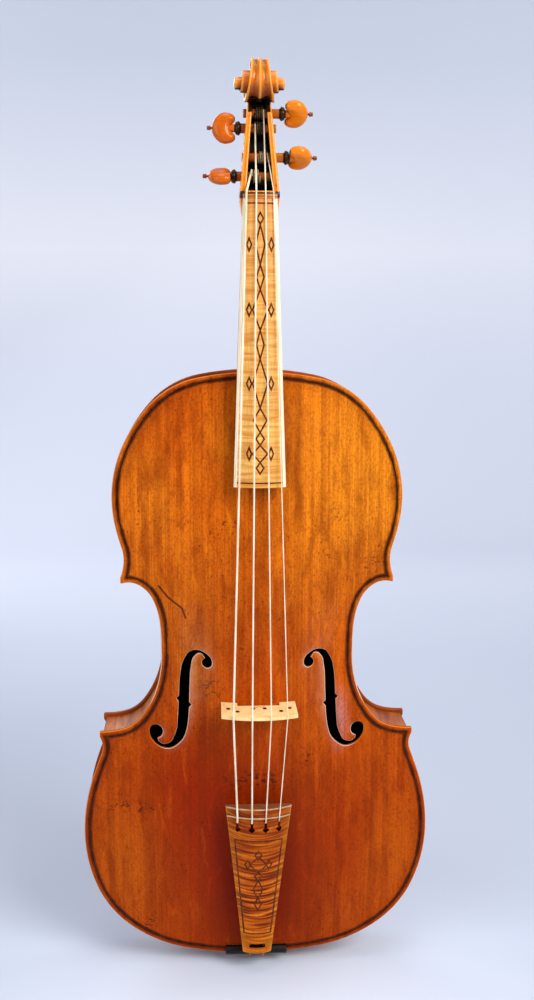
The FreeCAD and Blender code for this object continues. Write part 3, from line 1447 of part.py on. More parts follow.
def string(name):
    """A string with the knot that holds it under the tailpiece."""
    points, radii = string_points(name)
    run = tube(bent_path(points, radii), size("string_%s_diameter" % name), "string_" + name)
    print("string_%s: bends of %s mm" % (name, ", ".join("%g" % radius for radius in radii)))
    return shaped("string_" + name, run.fuse(Part.makeSphere(size("knot_diameter / 2"), points[0])))


def helix_biarcs(centre, radius, start_x, pitch, quarters, side):
    """Arcs that follow a coil about an axis along X, two to each quarter turn."""

    def spot(turn):
        angle = math.radians(90 * turn)
        offset = FreeCAD.Vector(0, -math.cos(angle), math.sin(angle)) * radius
        way = FreeCAD.Vector(side * pitch / (2 * math.pi), math.sin(angle) * radius, math.cos(angle) * radius)
        return centre + offset + ALONG_X * (start_x + side * pitch * turn / 4), way.normalize()

    edges = []
    for turn in range(quarters):
        start, way = spot(turn)
        end, end_way = spot(turn + 1)
        chord = end - start
        both = way + end_way
        spread = 4 - both.dot(both)
        reach_out = (-chord.dot(both) + math.sqrt(chord.dot(both) ** 2 + spread * chord.dot(chord))) / spread
        first = start + way * reach_out
        second = end - end_way * reach_out
        middle = (first + second) / 2
        for a, a_way, b in ((start, way, middle), (middle, (second - first).normalize(), end)):
            line_way = (b - a)
            half = a_way.getAngle(line_way)
            span = line_way.Length / 2
            inward = (line_way.normalize() * a_way.dot(line_way) - a_way).normalize()
            edges.append(Part.Arc(a, (a + b) / 2 - inward * span * math.tan(half / 2), b).toShape())
    return Part.Wire(edges)


def least_gap(path, thick, turn_length):
    """The least gap between points of a tube that lie more than half a turn apart."""
    points = []
    travelled = 0
    for edge in path.OrderedEdges:
        marks = edge.discretize(Number=6)[:-1]
        points += [(travelled + edge.Length * n / len(marks), mark) for n, mark in enumerate(marks)]
        travelled += edge.Length
    return min(
        mark.distanceToPoint(other)
        for s, mark in points for t, other in points if t - s > turn_length / 2) - thick


def winding(name):
    """The turns of a string round its peg, starting where the string arrives."""
    thick = size("string_%s_diameter" % name)
    pitch = thick + size("winding_space")
    arrival = size("arrival_" + name)
    radius = winding_radius(name)
    quarters = int(4 * PEGS[name]["turns"])
    path = helix_biarcs(peg_centre(name), radius, arrival, pitch, quarters, -1 if arrival > 0 else 1)
    print("winding_%s: least gap to itself %.3f mm" % (name, least_gap(path, thick, 2 * math.pi * radius)))
    return shaped("winding_" + name, tube(path, thick, "winding_" + name))


for name in PEGS:
    string(name)
    winding(name)


def tail_gut_path():
    """A loop from the tailpiece's slot over the saddle and round the end button's neck."""
    stand_off = gut / 2 + 3 * size("string_seat")
    bevel = size("saddle_rise / 2")
    slant = stand_off * math.tan(math.radians(45 / 2))
    over_saddle = -size(SADDLE_TOP) - stand_off
    lower_y = -size(SADDLE_TOP) + bevel - slant
    side = [
        tail_spot(size("run_gap / 2"), gut_forward, slot_z), tail_spot(gut_x, gut_forward, slot_z),
        tail_spot(gut_x, gut_forward, -gut), FreeCAD.Vector(gut_x, over_saddle, bevel - slant),
        FreeCAD.Vector(gut_x, lower_y, -stand_off), FreeCAD.Vector(gut_x, 0, -stand_off)]
    radii = [size("gut_slot_height / 2"), 1.5 * gut, size("string_bend"), gut]
    print("tail_gut: bends of %s mm" % ", ".join("%g" % radius for radius in radii + [gut_x]))
    treble = bent_path(side, radii).OrderedEdges
    bass = [mirrored(edge) for edge in reversed(treble)]
    round_button = Part.Arc(side[-1], FreeCAD.Vector(0, gut_x, -stand_off), mirrored_point(side[-1]))
    return Part.Wire(Part.__sortEdges__(treble + [round_button.toShape()] + bass))


def mirrored_point(point):
    return FreeCAD.Vector(-point.x, point.y, point.z)


shaped("tail_gut", tube(tail_gut_path(), gut, "tail_gut"))

# Every object is checked, and each piece is then written under its own name

PIECES = [
    "belly_bass_half", "belly_treble_half", "back_bass_half", "back_treble_half", "purfling_belly",
    "purfling_back", "rib_upper_bass", "rib_upper_treble", "rib_waist_bass", "rib_waist_treble",
    "rib_lower_bass", "rib_lower_treble", "top_block", "end_block", "corner_block_lower_bass",
    "corner_block_lower_treble", "corner_block_upper_bass", "corner_block_upper_treble",
    "linings_belly", "linings_back", "bass_bar", "sound_post", "neck_and_scroll", "neck_nails",
    "fingerboard_core", "fingerboard_veneer", "fingerboard_edge_bass", "fingerboard_edge_treble",
    "fingerboard_inlay", "nut", "bridge", "end_button", "saddle", "tail_gut", "tailpiece",
    "tailpiece_inlay", "tailpiece_fret", "tailpiece_end_strip",
]
for name in PEGS:
    PIECES += [kind + name for kind in ("peg_", "peg_pip_", "string_", "winding_")]

doc.recompute()
for thing in doc.Objects:
    if "Invalid" in thing.State or "Error" in thing.State:
        raise RuntimeError("%s failed: %s" % (thing.Name, thing.State))
for name in PIECES:
    shape = doc.getObject(name).Shape
    if shape.isNull() or not shape.isValid() or not shape.Solids:
        raise RuntimeError("%s has no valid solid" % name)
os.makedirs("parts", exist_ok=True)
for name in PIECES:
    piece = doc.getObject(name)
    piece.Label = name
    piece.Shape.exportStep(os.path.join("parts", name + ".step"))
    extent = piece.Shape.optimalBoundingBox(False)
    print("%-26s %2d solids %9.0f mm3  X %6.1f %6.1f  Y %6.1f %6.1f  Z %6.1f %6.1f" % (
        name, len(piece.Shape.Solids), piece.Shape.Volume, extent.XMin, extent.XMax, extent.YMin, extent.YMax,
        extent.ZMin, extent.ZMax))
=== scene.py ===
# %% [markdown]
# # A viola, dressed in Blender
# The solid model of a viola is already packed: every plate, rib, peg and string has its real size
# and place. Here it gets its looks: varnish over spruce and flamed maple, rounded edges, a carved
# head and pegs, gut strings, studio light, and a camera where the photographer stood. The frame
# comes first. Its objects never move by themselves, and every new piece rides on one of its bodies.
# Places are in metres: x to the treble side, y to the back, z up from the lower edge.

# %% Load the frame
import json
import math

import bmesh
import bpy
import numpy as np
from mathutils import Matrix, Vector
from mathutils.bvhtree import BVHTree

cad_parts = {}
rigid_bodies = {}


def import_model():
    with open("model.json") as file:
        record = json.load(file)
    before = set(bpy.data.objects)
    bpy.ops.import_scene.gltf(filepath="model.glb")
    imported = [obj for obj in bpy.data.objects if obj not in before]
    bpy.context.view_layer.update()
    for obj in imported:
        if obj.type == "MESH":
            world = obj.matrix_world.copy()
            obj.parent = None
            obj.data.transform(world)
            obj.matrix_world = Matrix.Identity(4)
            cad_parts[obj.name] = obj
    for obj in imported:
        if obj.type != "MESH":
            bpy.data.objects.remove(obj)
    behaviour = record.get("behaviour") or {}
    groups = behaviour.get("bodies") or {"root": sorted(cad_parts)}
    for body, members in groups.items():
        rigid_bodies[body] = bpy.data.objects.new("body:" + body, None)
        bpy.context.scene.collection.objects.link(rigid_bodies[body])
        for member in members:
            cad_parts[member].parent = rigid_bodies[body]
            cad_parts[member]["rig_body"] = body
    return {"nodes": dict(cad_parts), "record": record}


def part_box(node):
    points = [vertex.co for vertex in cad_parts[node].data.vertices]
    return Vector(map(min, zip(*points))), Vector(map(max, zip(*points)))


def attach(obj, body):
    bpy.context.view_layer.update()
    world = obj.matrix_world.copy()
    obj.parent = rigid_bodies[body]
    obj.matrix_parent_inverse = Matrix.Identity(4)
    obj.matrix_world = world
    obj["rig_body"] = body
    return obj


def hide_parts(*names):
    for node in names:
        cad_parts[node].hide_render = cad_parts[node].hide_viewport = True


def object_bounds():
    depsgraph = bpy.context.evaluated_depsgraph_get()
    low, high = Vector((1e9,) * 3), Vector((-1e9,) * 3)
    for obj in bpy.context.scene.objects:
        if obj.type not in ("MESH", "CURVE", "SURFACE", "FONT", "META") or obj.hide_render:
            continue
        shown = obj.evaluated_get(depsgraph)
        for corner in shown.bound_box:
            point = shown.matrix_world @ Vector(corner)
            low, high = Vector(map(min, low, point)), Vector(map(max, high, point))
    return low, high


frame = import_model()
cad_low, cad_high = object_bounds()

nodes = frame["nodes"]
MM = 0.001
print("frame:", len(nodes), "nodes,", [round(v, 3) for v in cad_high - cad_low], "m across")

# %% [markdown]
# ## Camera
# The photograph is taken from the height of the fingerboard, from about 0.9 m in front, and looks
# down a little: the upper face of the bridge shows. A long side of 36 mm and a lens of 41.5 mm give
# its angle of view. The camera turns slightly to the right, because the viola stands left of the
# middle, and rolls a third of a degree. The Standard view shows colours as they are mixed, so that
# a varnish colour comes out as given.

# %% Camera
CAMERA_PLACE = (-0.045, -0.903, 0.530)
CAMERA_DOWN, CAMERA_RIGHT, CAMERA_ROLL = 9.6, 3.38, 0.33


def add(name, data):
    """A new object in the scene, for a mesh, a lamp or a camera."""
    made = bpy.data.objects.new(name, data)
    bpy.context.scene.collection.objects.link(made)
    return made


def look(down, right, roll):
    """The turn of a camera that starts out looking along +Y, in degrees."""
    turn = Matrix.Rotation(math.radians(-right), 4, "Z")
    tilt = Matrix.Rotation(math.radians(90 - down), 4, "X")
    return turn @ tilt @ Matrix.Rotation(math.radians(roll), 4, "Z")


lens = bpy.data.cameras.new("studio_camera")
lens.lens, lens.clip_start = 41.5, 0.01
camera = add("studio_camera", lens)
bpy.context.scene.camera = camera
camera.matrix_world = Matrix.Translation(CAMERA_PLACE) @ look(CAMERA_DOWN, CAMERA_RIGHT, CAMERA_ROLL)
bpy.context.scene.view_settings.view_transform = "Standard"
print("camera at", CAMERA_PLACE)

# %% [markdown]
# ## Small helpers for finishes
# Every surface is painted with nodes, so it holds up from near and from any side, and needs no
# picture. A finish starts from the place of a point on the viola and works out its colour and its
# relief. As in the workshop, the colour is laid on in coats: each covers a share of what lies under
# it. The helpers name what a maker would see, such as streaks along the grain or a patch of darker
# varnish.

# %% Helpers for finishes


def seen(red, green, blue):
    """A colour as it looks on a screen, 0 to 255, in the light values that Blender mixes."""
    parts = [v / 255 for v in (red, green, blue)]
    return tuple(v / 12.92 if v <= 0.04045 else ((v + 0.055) / 1.055) ** 2.4 for v in parts) + (1.0,)


class Finish:
    """A material under construction. Nodes' sockets go in and out of its methods."""

    def __init__(self, name, **surface):
        self.material = bpy.data.materials.new(name)
        self.material.use_nodes = True
        self.tree = self.material.node_tree
        self.skin = self.tree.nodes["Principled BSDF"]
        for socket, value in surface.items():
            self.skin.inputs[socket.replace("_", " ")].default_value = value
        self.place = self.node("ShaderNodeTexCoord").outputs["Object"]
        self.x, self.y, self.z = self.node("ShaderNodeSeparateXYZ", [(0, self.place)]).outputs
        self.colour = seen(0, 0, 0)

    def node(self, kind, sockets=(), **settings):
        """Adds a node. sockets are (name or number, value or another node's socket) pairs."""
        made = self.tree.nodes.new(kind)
        for key, value in settings.items():
            setattr(made, key, value)
        for key, value in sockets:
            if isinstance(value, bpy.types.NodeSocket):
                self.tree.links.new(value, made.inputs[key])
            else:
                made.inputs[key].default_value = value
        return made

    def sum(self, how, *values):
        """One step of arithmetic: ADD, SINE, ABSOLUTE and so on."""
        return self.node("ShaderNodeMath", enumerate(values), operation=how).outputs[0]

    def times(self, first, second):
        """One value times another."""
        return self.sum("MULTIPLY", first, second)

    def places(self, how, first, second=(0, 0, 0), result=0):
        """One step of arithmetic on places. Result 0 is a place, and 1 a single number."""
        made = self.node("ShaderNodeVectorMath", [(0, first), (1, second)], operation=how)
        return made.outputs[result]

    def point(self, x, y, z):
        """A place made of its three parts."""
        return self.node("ShaderNodeCombineXYZ", [(0, x), (1, y), (2, z)]).outputs[0]

    def kept(self, layer):
        """A value that is kept on the points of the mesh."""
        return self.node("ShaderNodeAttribute", attribute_name=layer).outputs["Fac"]

    def normal(self, part):
        """How far the surface faces x, y or z: part 0, 1 or 2."""
        faced = self.node("ShaderNodeNewGeometry").outputs["Normal"]
        return self.node("ShaderNodeSeparateXYZ", [(0, faced)]).outputs[part]

    def fit(self, value, low, high, out_low=0.0, out_high=1.0, smooth=True):
        """Brings low..high to out_low..out_high and holds it there at both ends."""
        made = self.node("ShaderNodeMapRange",
                         [(0, value), (1, low), (2, high), (3, out_low), (4, out_high)])
        made.interpolation_type = "SMOOTHSTEP" if smooth else "LINEAR"
        return made.outputs[0]

    def grain(self, size, detail=3.0, place=None, rough=0.55, bend=0.0):
        """Cloudy noise from 0 to 1 whose lumps are size = (x, y, z) millimetres long."""
        sockets = [("Vector", place or self.place), ("Scale", [1000 / s for s in size])]
        stretched = self.node("ShaderNodeMapping", sockets).outputs[0]
        sockets = [("Vector", stretched), ("Scale", 1.0), ("Detail", detail), ("Roughness", rough),
                   ("Distortion", bend)]
        return self.node("ShaderNodeTexNoise", sockets).outputs["Fac"]

    def patch(self, centre, radius, place=None):
        """1 at the centre of an egg-shaped patch, falling softly to 0 at its radius (x, y, z)."""
        away = self.places("SUBTRACT", place or self.place, centre)
        scaled = self.places("MULTIPLY", away, [1 / r for r in radius])
        return self.fit(self.places("LENGTH", scaled, result=1), 0.0, 1.0, 1.0, 0.0)

    def spot(self, x, z, half_width, half_height, place=None):
        """A patch as the photograph shows it from the front, right through the plate."""
        return self.patch((x, -0.03, z), (half_width, 0.5, half_height), place)

    def stroke(self, points, width, flat):
        """1 on a scratch through the points, falling to 0 at half its width.
        The axis that is 0 in flat doesn't count, so the scratch goes right through the piece."""
        place = self.places("MULTIPLY", self.place, flat)
        points = [Vector(point) * Vector(flat) for point in points]
        least = 1.0
        for start, end in zip(points, points[1:]):
            way = end - start
            away = self.places("SUBTRACT", place, start)
            along = self.places("DOT_PRODUCT", away, way / way.length_squared, result=1)
            foot = self.places("MULTIPLY", way, self.fit(along, 0.0, 1.0, smooth=False))
            least = self.sum("MINIMUM", self.places("DISTANCE", away, foot, result=1), least)
        return self.fit(least, 0.15 * width, 0.5 * width, 1.0, 0.0)

    def mix(self, share, first, second):
        """Colour first with a share of colour second on it."""
        sockets = [(0, share), (6, first), (7, second)]
        return self.node("ShaderNodeMix", sockets, data_type="RGBA").outputs[2]

    def bands(self, value, *stops):
        """A first coat in bands along a value: stops are (place from 0 to 1, red, green, blue)."""
        made = self.node("ShaderNodeValToRGB", [(0, value)])
        steps = made.color_ramp.elements
        while len(steps) < len(stops):
            steps.new(0.5)
        for step, (where, *colour) in zip(steps, stops):
            step.position, step.color = where, seen(*colour)
        self.colour = made.outputs["Color"]

    def lay(self, share, *colour):
        """One more coat: a share of a colour, given as red, green and blue or as a mixed one."""
        over = seen(*colour) if len(colour) == 3 else colour[0]
        self.colour = self.mix(share, self.colour, over)

    def relief(self, height, depth):
        """Raises the surface by height (0 to 1) times depth, in millimetres, for the light only."""
        sockets = [("Height", height), ("Distance", depth * MM), ("Strength", 1.0)]
        sockets += [("Normal", link.from_socket) for link in self.skin.inputs["Normal"].links]
        self.tree.links.new(self.node("ShaderNodeBump", sockets).outputs[0], self.skin.inputs["Normal"])

    def paint(self, noise=None, smoothest=0.0, roughest=1.0):
        """Puts the coats on the surface, and a roughness that follows a noise."""
        self.tree.links.new(self.colour, self.skin.inputs["Base Color"])
        if noise:
            rough = self.fit(noise, 0.3, 0.7, smoothest, roughest)
            self.tree.links.new(rough, self.skin.inputs["Roughness"])
        return self.material


def wear(piece, material):
    """Gives one material to the whole piece."""
    piece.data.materials.clear()
    piece.data.materials.append(material)
    return piece


print("helpers ready")

# %% [markdown]
# ## Backdrop
# The viola stands before a sheet of pale blue-grey paper that hangs from above and runs on as the
# floor. One sheet with a wide bend has no corner line, so only a soft shadow tells floor from wall.
# It hangs far enough back to walk round the viola and look at its back. It is made from a line of
# points in side view, pulled out sideways. Light and shade are painted on it: painted shade on the
# floor in front and on the right side, and a pool of painted light round the foot of the viola, as in
# the photograph.

# %% Backdrop
FLOOR = cad_low.z - 0.0002
WALL, BEND = 2.3, 0.7
SHEET_FRONT, SHEET_TOP, SHEET_HALF_WIDTH = -2.4, 3.4, 3.0


def paper_sheet():
    """The sheet, bent from floor to wall with a quarter circle."""
    line = [(SHEET_FRONT, FLOOR), (WALL - BEND, FLOOR)]
    line += [(WALL - BEND + BEND * math.sin(a), FLOOR + BEND - BEND * math.cos(a))
             for a in (math.radians(d) for d in range(6, 90, 6))]
    line += [(WALL, FLOOR + BEND), (WALL, SHEET_TOP)]
    mesh = bpy.data.meshes.new("paper_backdrop")
    points = [(x, y, z) for x in (-SHEET_HALF_WIDTH, SHEET_HALF_WIDTH) for y, z in line]
    count = len(line)
    mesh.from_pydata(points, [], [(i, i + 1, count + i + 1, count + i) for i in range(count - 1)])
    mesh.shade_smooth()
    return add("paper_backdrop", mesh)


def paper_finish():
    """Matt paper with painted light and shade, and wide, very faint clouds."""
    paper = Finish("paper", Roughness=0.95, Specular_IOR_Level=0.1)
    height = paper.fit(paper.z, 0.15, 1.6)
    # Painted light: the paper is lighter at mid height than at the floor and the top.
    paper.bands(height, (0.0, 212, 217, 231), (0.30, 234, 234, 240), (0.8, 209, 215, 228))
    # Painted shade on the right side.
    paper.lay(paper.fit(paper.x, 0.0, 0.8, 0.0, 0.25), 196, 202, 217)
    # Painted shade on the floor in front.
    paper.lay(paper.fit(paper.y, 1.5, 0.5), 182, 189, 205)
    # A pool of painted light round the foot of the viola.
    painted_light_by_viola = paper.patch((0.0, -0.12, FLOOR), (0.36, 0.30, 0.2))
    paper.lay(paper.times(painted_light_by_viola, 0.7), 226, 236, 252)
    clouds = paper.grain((600, 600, 600), 1.0)
    paper.lay(paper.fit(clouds, 0.3, 0.7, 0.0, 0.10), 224, 226, 236)
    return paper.paint()


backdrop = wear(paper_sheet(), paper_finish())
print("backdrop with", len(backdrop.data.polygons), "faces")

# %% [markdown]
# ## Light
# A high-key studio: a large soft box to the upper right in front, a weaker one on the left, one
# above that opens the shoulders and the scroll, two on the paper itself, and one from behind for
# the back. Big sources give long soft highlights on the varnish, as in the photograph, and almost
# no shadow. The camera doesn't see the boxes, because from some sides they would stand in its view.

# %% Light
BODY_MIDDLE = (0.0, 0.0, 0.33)
SKY_COLOUR, SKY_STRENGTH = (0.83, 0.88, 1.0, 1), 0.35


def soft_box(name, place, target, width, height, power, colour=(1, 1, 1)):
    """A rectangle of light that faces the target."""
    lamp = bpy.data.lights.new(name, "AREA")
    lamp.shape, lamp.size, lamp.size_y = "RECTANGLE", width, height
    lamp.energy, lamp.color = power, colour
    box = add(name, lamp)
    box.location = place
    box.rotation_euler = (Vector(target) - Vector(place)).to_track_quat("-Z", "Y").to_euler()
    box.visible_camera = False


soft_box("key_light", (0.95, -1.15, 1.25), BODY_MIDDLE, 0.9, 0.9, 29.5, (1.0, 0.98, 0.95))
soft_box("fill_light", (-1.25, -1.0, 0.75), BODY_MIDDLE, 1.1, 1.3, 12, (0.96, 0.98, 1.0))
soft_box("top_light", (0.1, -0.1, 1.9), BODY_MIDDLE, 1.2, 0.8, 10)
soft_box("paper_light_left", (-1.9, 0.9, 1.3), (0.2, WALL, 0.6), 0.8, 1.4, 12)
soft_box("paper_light_right", (1.9, 0.9, 1.3), (-0.2, WALL, 0.6), 0.8, 1.4, 12)
soft_box("back_light", (-0.8, 1.6, 1.3), BODY_MIDDLE, 0.9, 0.9, 9)
world = bpy.data.worlds.new("studio_air")
world.use_nodes = True
air = world.node_tree.nodes["Background"].inputs
air["Color"].default_value, air["Strength"].default_value = SKY_COLOUR, SKY_STRENGTH
bpy.context.scene.world = world

# %% [markdown]
# ## Varnished spruce
# The belly is quarter-sawn spruce: fine straight lines run from top to bottom, a millimetre apart.
# The varnish is amber, darker towards the bottom and redder low in the middle, and lighter on the
# upper right, where it is partly painted light. Two small pale patches by the sound holes are
# painted reflections. Centuries left dark specks and a few scratches. Along the purfling lies a band
# of dirt and painted shade, and the rounded edge is paler, partly worn and partly painted highlight.
# Lines and specks are noise stretched along the grain. The varnish is a few soft patches, given one
# by one.

# %% Varnished spruce
# The first patch is partly painted light; the last two are painted reflections.
VARNISH_AND_PAINTED_SHEEN_PATCHES = (  # x, z, half width, half height, share, red, green, blue
    (0.085, 0.405, 0.13, 0.16, 0.85, 250, 150, 30), (-0.100, 0.400, 0.06, 0.10, 0.45, 240, 132, 26),
    (-0.004, 0.072, 0.095, 0.17, 1.0, 120, 0, 0), (-0.050, 0.150, 0.080, 0.11, 0.72, 140, 16, 0),
    (0.070, 0.110, 0.055, 0.08, 0.50, 160, 44, 0), (-0.108, 0.080, 0.042, 0.09, 0.55, 188, 92, 10),
    (0.112, 0.090, 0.040, 0.08, 0.45, 196, 96, 10), (-0.030, 0.290, 0.090, 0.09, 0.30, 150, 56, 6),
    (-0.075, 0.455, 0.060, 0.05, 0.40, 166, 66, 8), (0.080, 0.315, 0.050, 0.06, 0.40, 156, 56, 6),
    (-0.050, 0.245, 0.022, 0.05, 0.35, 168, 104, 40), (0.065, 0.205, 0.012, 0.035, 0.65, 186, 128, 128))
STAINS = (  # x, z, half width, half height, share
    (-0.002, 0.158, 0.045, 0.014, 0.95), (0.039, 0.174, 0.010, 0.010, 0.80),
    (-0.036, 0.232, 0.014, 0.013, 0.90), (-0.100, 0.132, 0.045, 0.009, 0.85),
    (-0.0215, 0.365, 0.014, 0.005, 1.00), (0.091, 0.328, 0.014, 0.016, 0.75),
    (-0.090, 0.030, 0.014, 0.016, 0.80), (0.060, 0.372, 0.020, 0.012, 0.40))
SCRATCH = ((-0.0774, 0, 0.3134), (-0.0699, 0, 0.3043), (-0.0591, 0, 0.2960), (-0.0566, 0, 0.2885))


def varnish_on_spruce(wood, blotches, crust):
    """The amber varnish over the wood's lines: patches, partly painted light, crust and glow."""
    wood.bands(wood.grain((55, 60, 90)), (0.30, 206, 86, 8), (0.50, 220, 104, 14), (0.72, 234, 124, 22))
    low = wood.fit(wood.z, 0.36, 0.12, 0.0, 0.92)
    wood.lay(low, 178, 68, 6)
    for *where, share, red, green, blue in VARNISH_AND_PAINTED_SHEEN_PATCHES:
        wood.lay(wood.times(wood.spot(*where), share), red, green, blue)
    lines, reeds = wood.grain((0.9, 60, 260), 2.0), wood.grain((5.5, 60, 420))
    for value, least, most, share, *colour in (
            (lines, 0.40, 0.60, 0.22, 104, 34, 2), (reeds, 0.38, 0.62, 0.30, 112, 36, 2),
            (blotches, 0.34, 0.56, 0.46, 118, 34, 2), (crust, 0.34, 0.58, 0.40, 112, 24, 0)):
        wood.lay(wood.fit(value, least, most, share, 0.0), *colour)
    glow = wood.mix(low, seen(236, 130, 14), seen(182, 70, 6))
    wood.lay(wood.fit(blotches, 0.58, 0.74, 0.0, 0.45), glow)
    wood.relief(lines, 0.04)
    wood.relief(crust, 0.07)


def marks_of_use(wood):
    """Specks, stains, one long scratch, and old dirt with painted shade beside the purfling."""
    specks = wood.fit(wood.grain((2.0, 2.0, 2.6), 1.0), 0.66, 0.73)
    areas = wood.fit(wood.grain((70, 70, 60), 2.0), 0.40, 0.62)
    wood.lay(wood.times(wood.times(specks, areas), 0.6), 54, 18, 4)
    smudge = wood.fit(wood.grain((3.2, 6, 2.2), 2.0, rough=0.5, bend=0.4), 0.54, 0.60)
    for *where, share in STAINS:
        wood.lay(wood.times(wood.times(wood.spot(*where), smudge), share), 52, 24, 8)
    wood.lay(wood.times(wood.stroke(SCRATCH, 0.0026, (1, 0, 1)), 0.85), 58, 20, 4)
    near = wood.kept("by_purfling")
    broken = wood.fit(wood.grain((7, 7, 9)), 0.30, 0.60, 0.55, 1.0)
    # Dirt and painted shade in a band along the purfling.
    dirt_and_shade = wood.times(wood.fit(near, 0.83, 0.96, 0.0, 0.85), broken)
    wood.lay(wood.fit(near, 0.3, 0.95, 0.0, 0.18), 120, 40, 2)
    wood.lay(dirt_and_shade, 52, 16, 2)


def worn_edges_and_painted_highlight(wood):
    """Rim paler, as wear and painted highlight, paler still by the sound holes; brown walls in them."""
    facing = wood.sum("ABSOLUTE", wood.normal(1))
    both_sides = wood.point(wood.sum("ABSOLUTE", wood.x), wood.y, wood.z)
    sound_hole = wood.spot(0.050, 0.230, 0.040, 0.085, both_sides)
    # Painted highlight: pale on the rim, palest round the sound holes.
    rim = wood.mix(wood.fit(sound_hole, 0.0, 0.1), seen(226, 124, 26), seen(236, 196, 164))
    wood.lay(wood.fit(facing, 0.97, 0.75, 0.0, 0.85), rim)
    wood.lay(wood.fit(facing, 0.55, 0.20, 0.0, 0.85), 120, 50, 12)


def varnished_spruce():
    """Spruce under old amber varnish."""
    wood = Finish("spruce_varnished", Coat_Weight=0.03, Coat_Roughness=0.15, Specular_IOR_Level=0.04)
    blotches = wood.grain((9, 60, 34), 4.0, rough=0.6, bend=0.4)
    crust = wood.grain((1.5, 3, 2.2), rough=0.7)
    varnish_on_spruce(wood, blotches, crust)
    marks_of_use(wood)
    worn_edges_and_painted_highlight(wood)
    return wood.paint(crust, 0.30, 0.44)


spruce = varnished_spruce()
print("finish:", spruce.name)

# %% [markdown]
# ## Flamed maple
# Back, ribs and head are maple. Its fibres wave, so light bands run across the grain: the flame. On
# the back the two halves are mirror pictures, and their flames slope down from the middle joint. A
# noise that is long across the grain and short along it makes bands of uneven width. The head is
# handled most: its ridges are pale, as wear and painted highlight, and its hollows dark, as dirt and
# painted shade. Its undersides get painted shade, and a few places are painted near black. Where
# the ridges, hollows and black lie is kept on the points of its mesh, further on, and the last coats
# follow it.

# %% Flamed maple


def lay_patina_and_painted_light(wood, dirt_and_shade, worn_and_highlight, dirt_and_shade_share, worn_and_highlight_share):
    """Dirt and painted shade in the hollows, pale wear and painted highlight on ridges, and near black.
    """
    hollow = wood.kept("hollow")
    wood.lay(wood.fit(hollow, 0.05, 0.5, 0.0, dirt_and_shade_share, smooth=False), *dirt_and_shade)
    wood.lay(wood.fit(hollow, -0.08, -0.5, 0.0, worn_and_highlight_share, smooth=False), *worn_and_highlight)
    wood.lay(wood.fit(wood.kept("black_and_shade"), 0.2, 0.8, 0.0, 0.97, smooth=False), 12, 6, 3)


def flamed_maple(name, dark, light, flame, along=(0, 0, 1), slope=0.0, strength=0.55, reach=45.0,
                 coat=0.08):
    """Maple whose flame has bands of that many millimetres, laid along the grain's direction."""
    wood = Finish(name, Coat_Weight=coat, Coat_Roughness=0.18, Specular_IOR_Level=0.08)
    slanted = wood.sum("MULTIPLY_ADD", wood.sum("ABSOLUTE", wood.x), slope, wood.z)
    place = wood.point(wood.x, wood.y, slanted)
    waves = wood.grain([flame if a else reach for a in along], 2.0, place, 0.5, 0.6)
    fibre = wood.grain([90.0 if a else 1.1 for a in along], 2.0)
    band = wood.fit(waves, 0.36, 0.64)
    red, green, blue, _ = wood.colour = seen(*dark)
    wood.lay(wood.fit(wood.grain((60, 60, 60), 2.0), 0.3, 0.7, 0.15, 0.85), *light)
    for share, shade in ((wood.times(band, strength), 0.42),
                         (wood.fit(fibre, 0.42, 0.60, 0.22, 0.0), 0.5)):
        wood.lay(share, (red * shade, green * shade, blue * shade, 1))
    wood.relief(band, 0.04)
    return wood, fibre


def maple_of_the_back():
    """Maple of a plate, darker near its purfling, with painted shade on its dull inner face."""
    wood, fibre = flamed_maple("back_maple", (176, 72, 8), (212, 106, 16), 9, slope=0.22)
    near = wood.kept("by_purfling")
    wood.lay(wood.fit(near, 0.25, 0.95, 0.0, 0.6), 70, 24, 4)
    # Painted shade on the inner face, seen through the sound holes.
    inner = wood.times(wood.fit(wood.normal(1), -0.2, -0.5), wood.fit(near, 0.40, 0.15))
    wood.lay(inner, 16, 9, 4)
    return wood.paint(fibre, 0.34, 0.44)


def maple_of_the_neck():
    """Bright maple, on the head with painted shade on its undersides, specks and patina."""
    wood, fibre = flamed_maple("neck_maple", (222, 100, 6), (250, 150, 24), 7, strength=0.3, reach=60,
                               coat=0.45)
    # Painted shade on the faces of the head that look down.
    painted_underside_shade = wood.times(wood.fit(wood.normal(2), 0.1, -0.7, 0.0, 0.8), wood.fit(wood.z, 0.600, 0.625))
    wood.lay(painted_underside_shade, 92, 26, 2)
    specks = wood.fit(wood.grain((1.6, 1.6, 2.4), 2.0), 0.62, 0.72, 0.0, 0.7)
    wood.lay(wood.times(specks, wood.fit(wood.z, 0.600, 0.612)), 84, 22, 2)
    lay_patina_and_painted_light(wood, (50, 14, 2), (248, 170, 64), 0.95, 0.6)
    return wood.paint(fibre, 0.22, 0.32)


def maple_of_the_ribs():
    """Thin strips with the same flame, finer and stronger."""
    wood, fibre = flamed_maple("rib_maple", (150, 66, 16), (232, 148, 80), 4.6, along=(1, 0, 1),
                               strength=0.62)
    return wood.paint(fibre, 0.34, 0.44)


back_maple, rib_maple, neck_maple = maple_of_the_back(), maple_of_the_ribs(), maple_of_the_neck()
print("finishes:", back_maple.name, rib_maple.name, neck_maple.name)

# %% [markdown]
# ## Veneers of fingerboard and tailpiece
# Both are faced with maple cut so that its flame lies across. On the board it is fine and pale like
# honey, on the tailpiece it is bold, orange and nearly tiger-striped, and sags a little to both
# sides. Its keyholes and its slot are bored right through, and their walls get painted shade; its
# filed edges get a painted highlight. The two pale strips across its upper end are old bone, browned
# where they meet the end grain.

# %% Veneers and bone
KEYHOLES = [(i * 7.55 * MM, -0.05, 0.1215) for i in (-1.5, -0.5, 0.5, 1.5)]
GUT_SLOT = (0.0, -0.04, 0.0165)


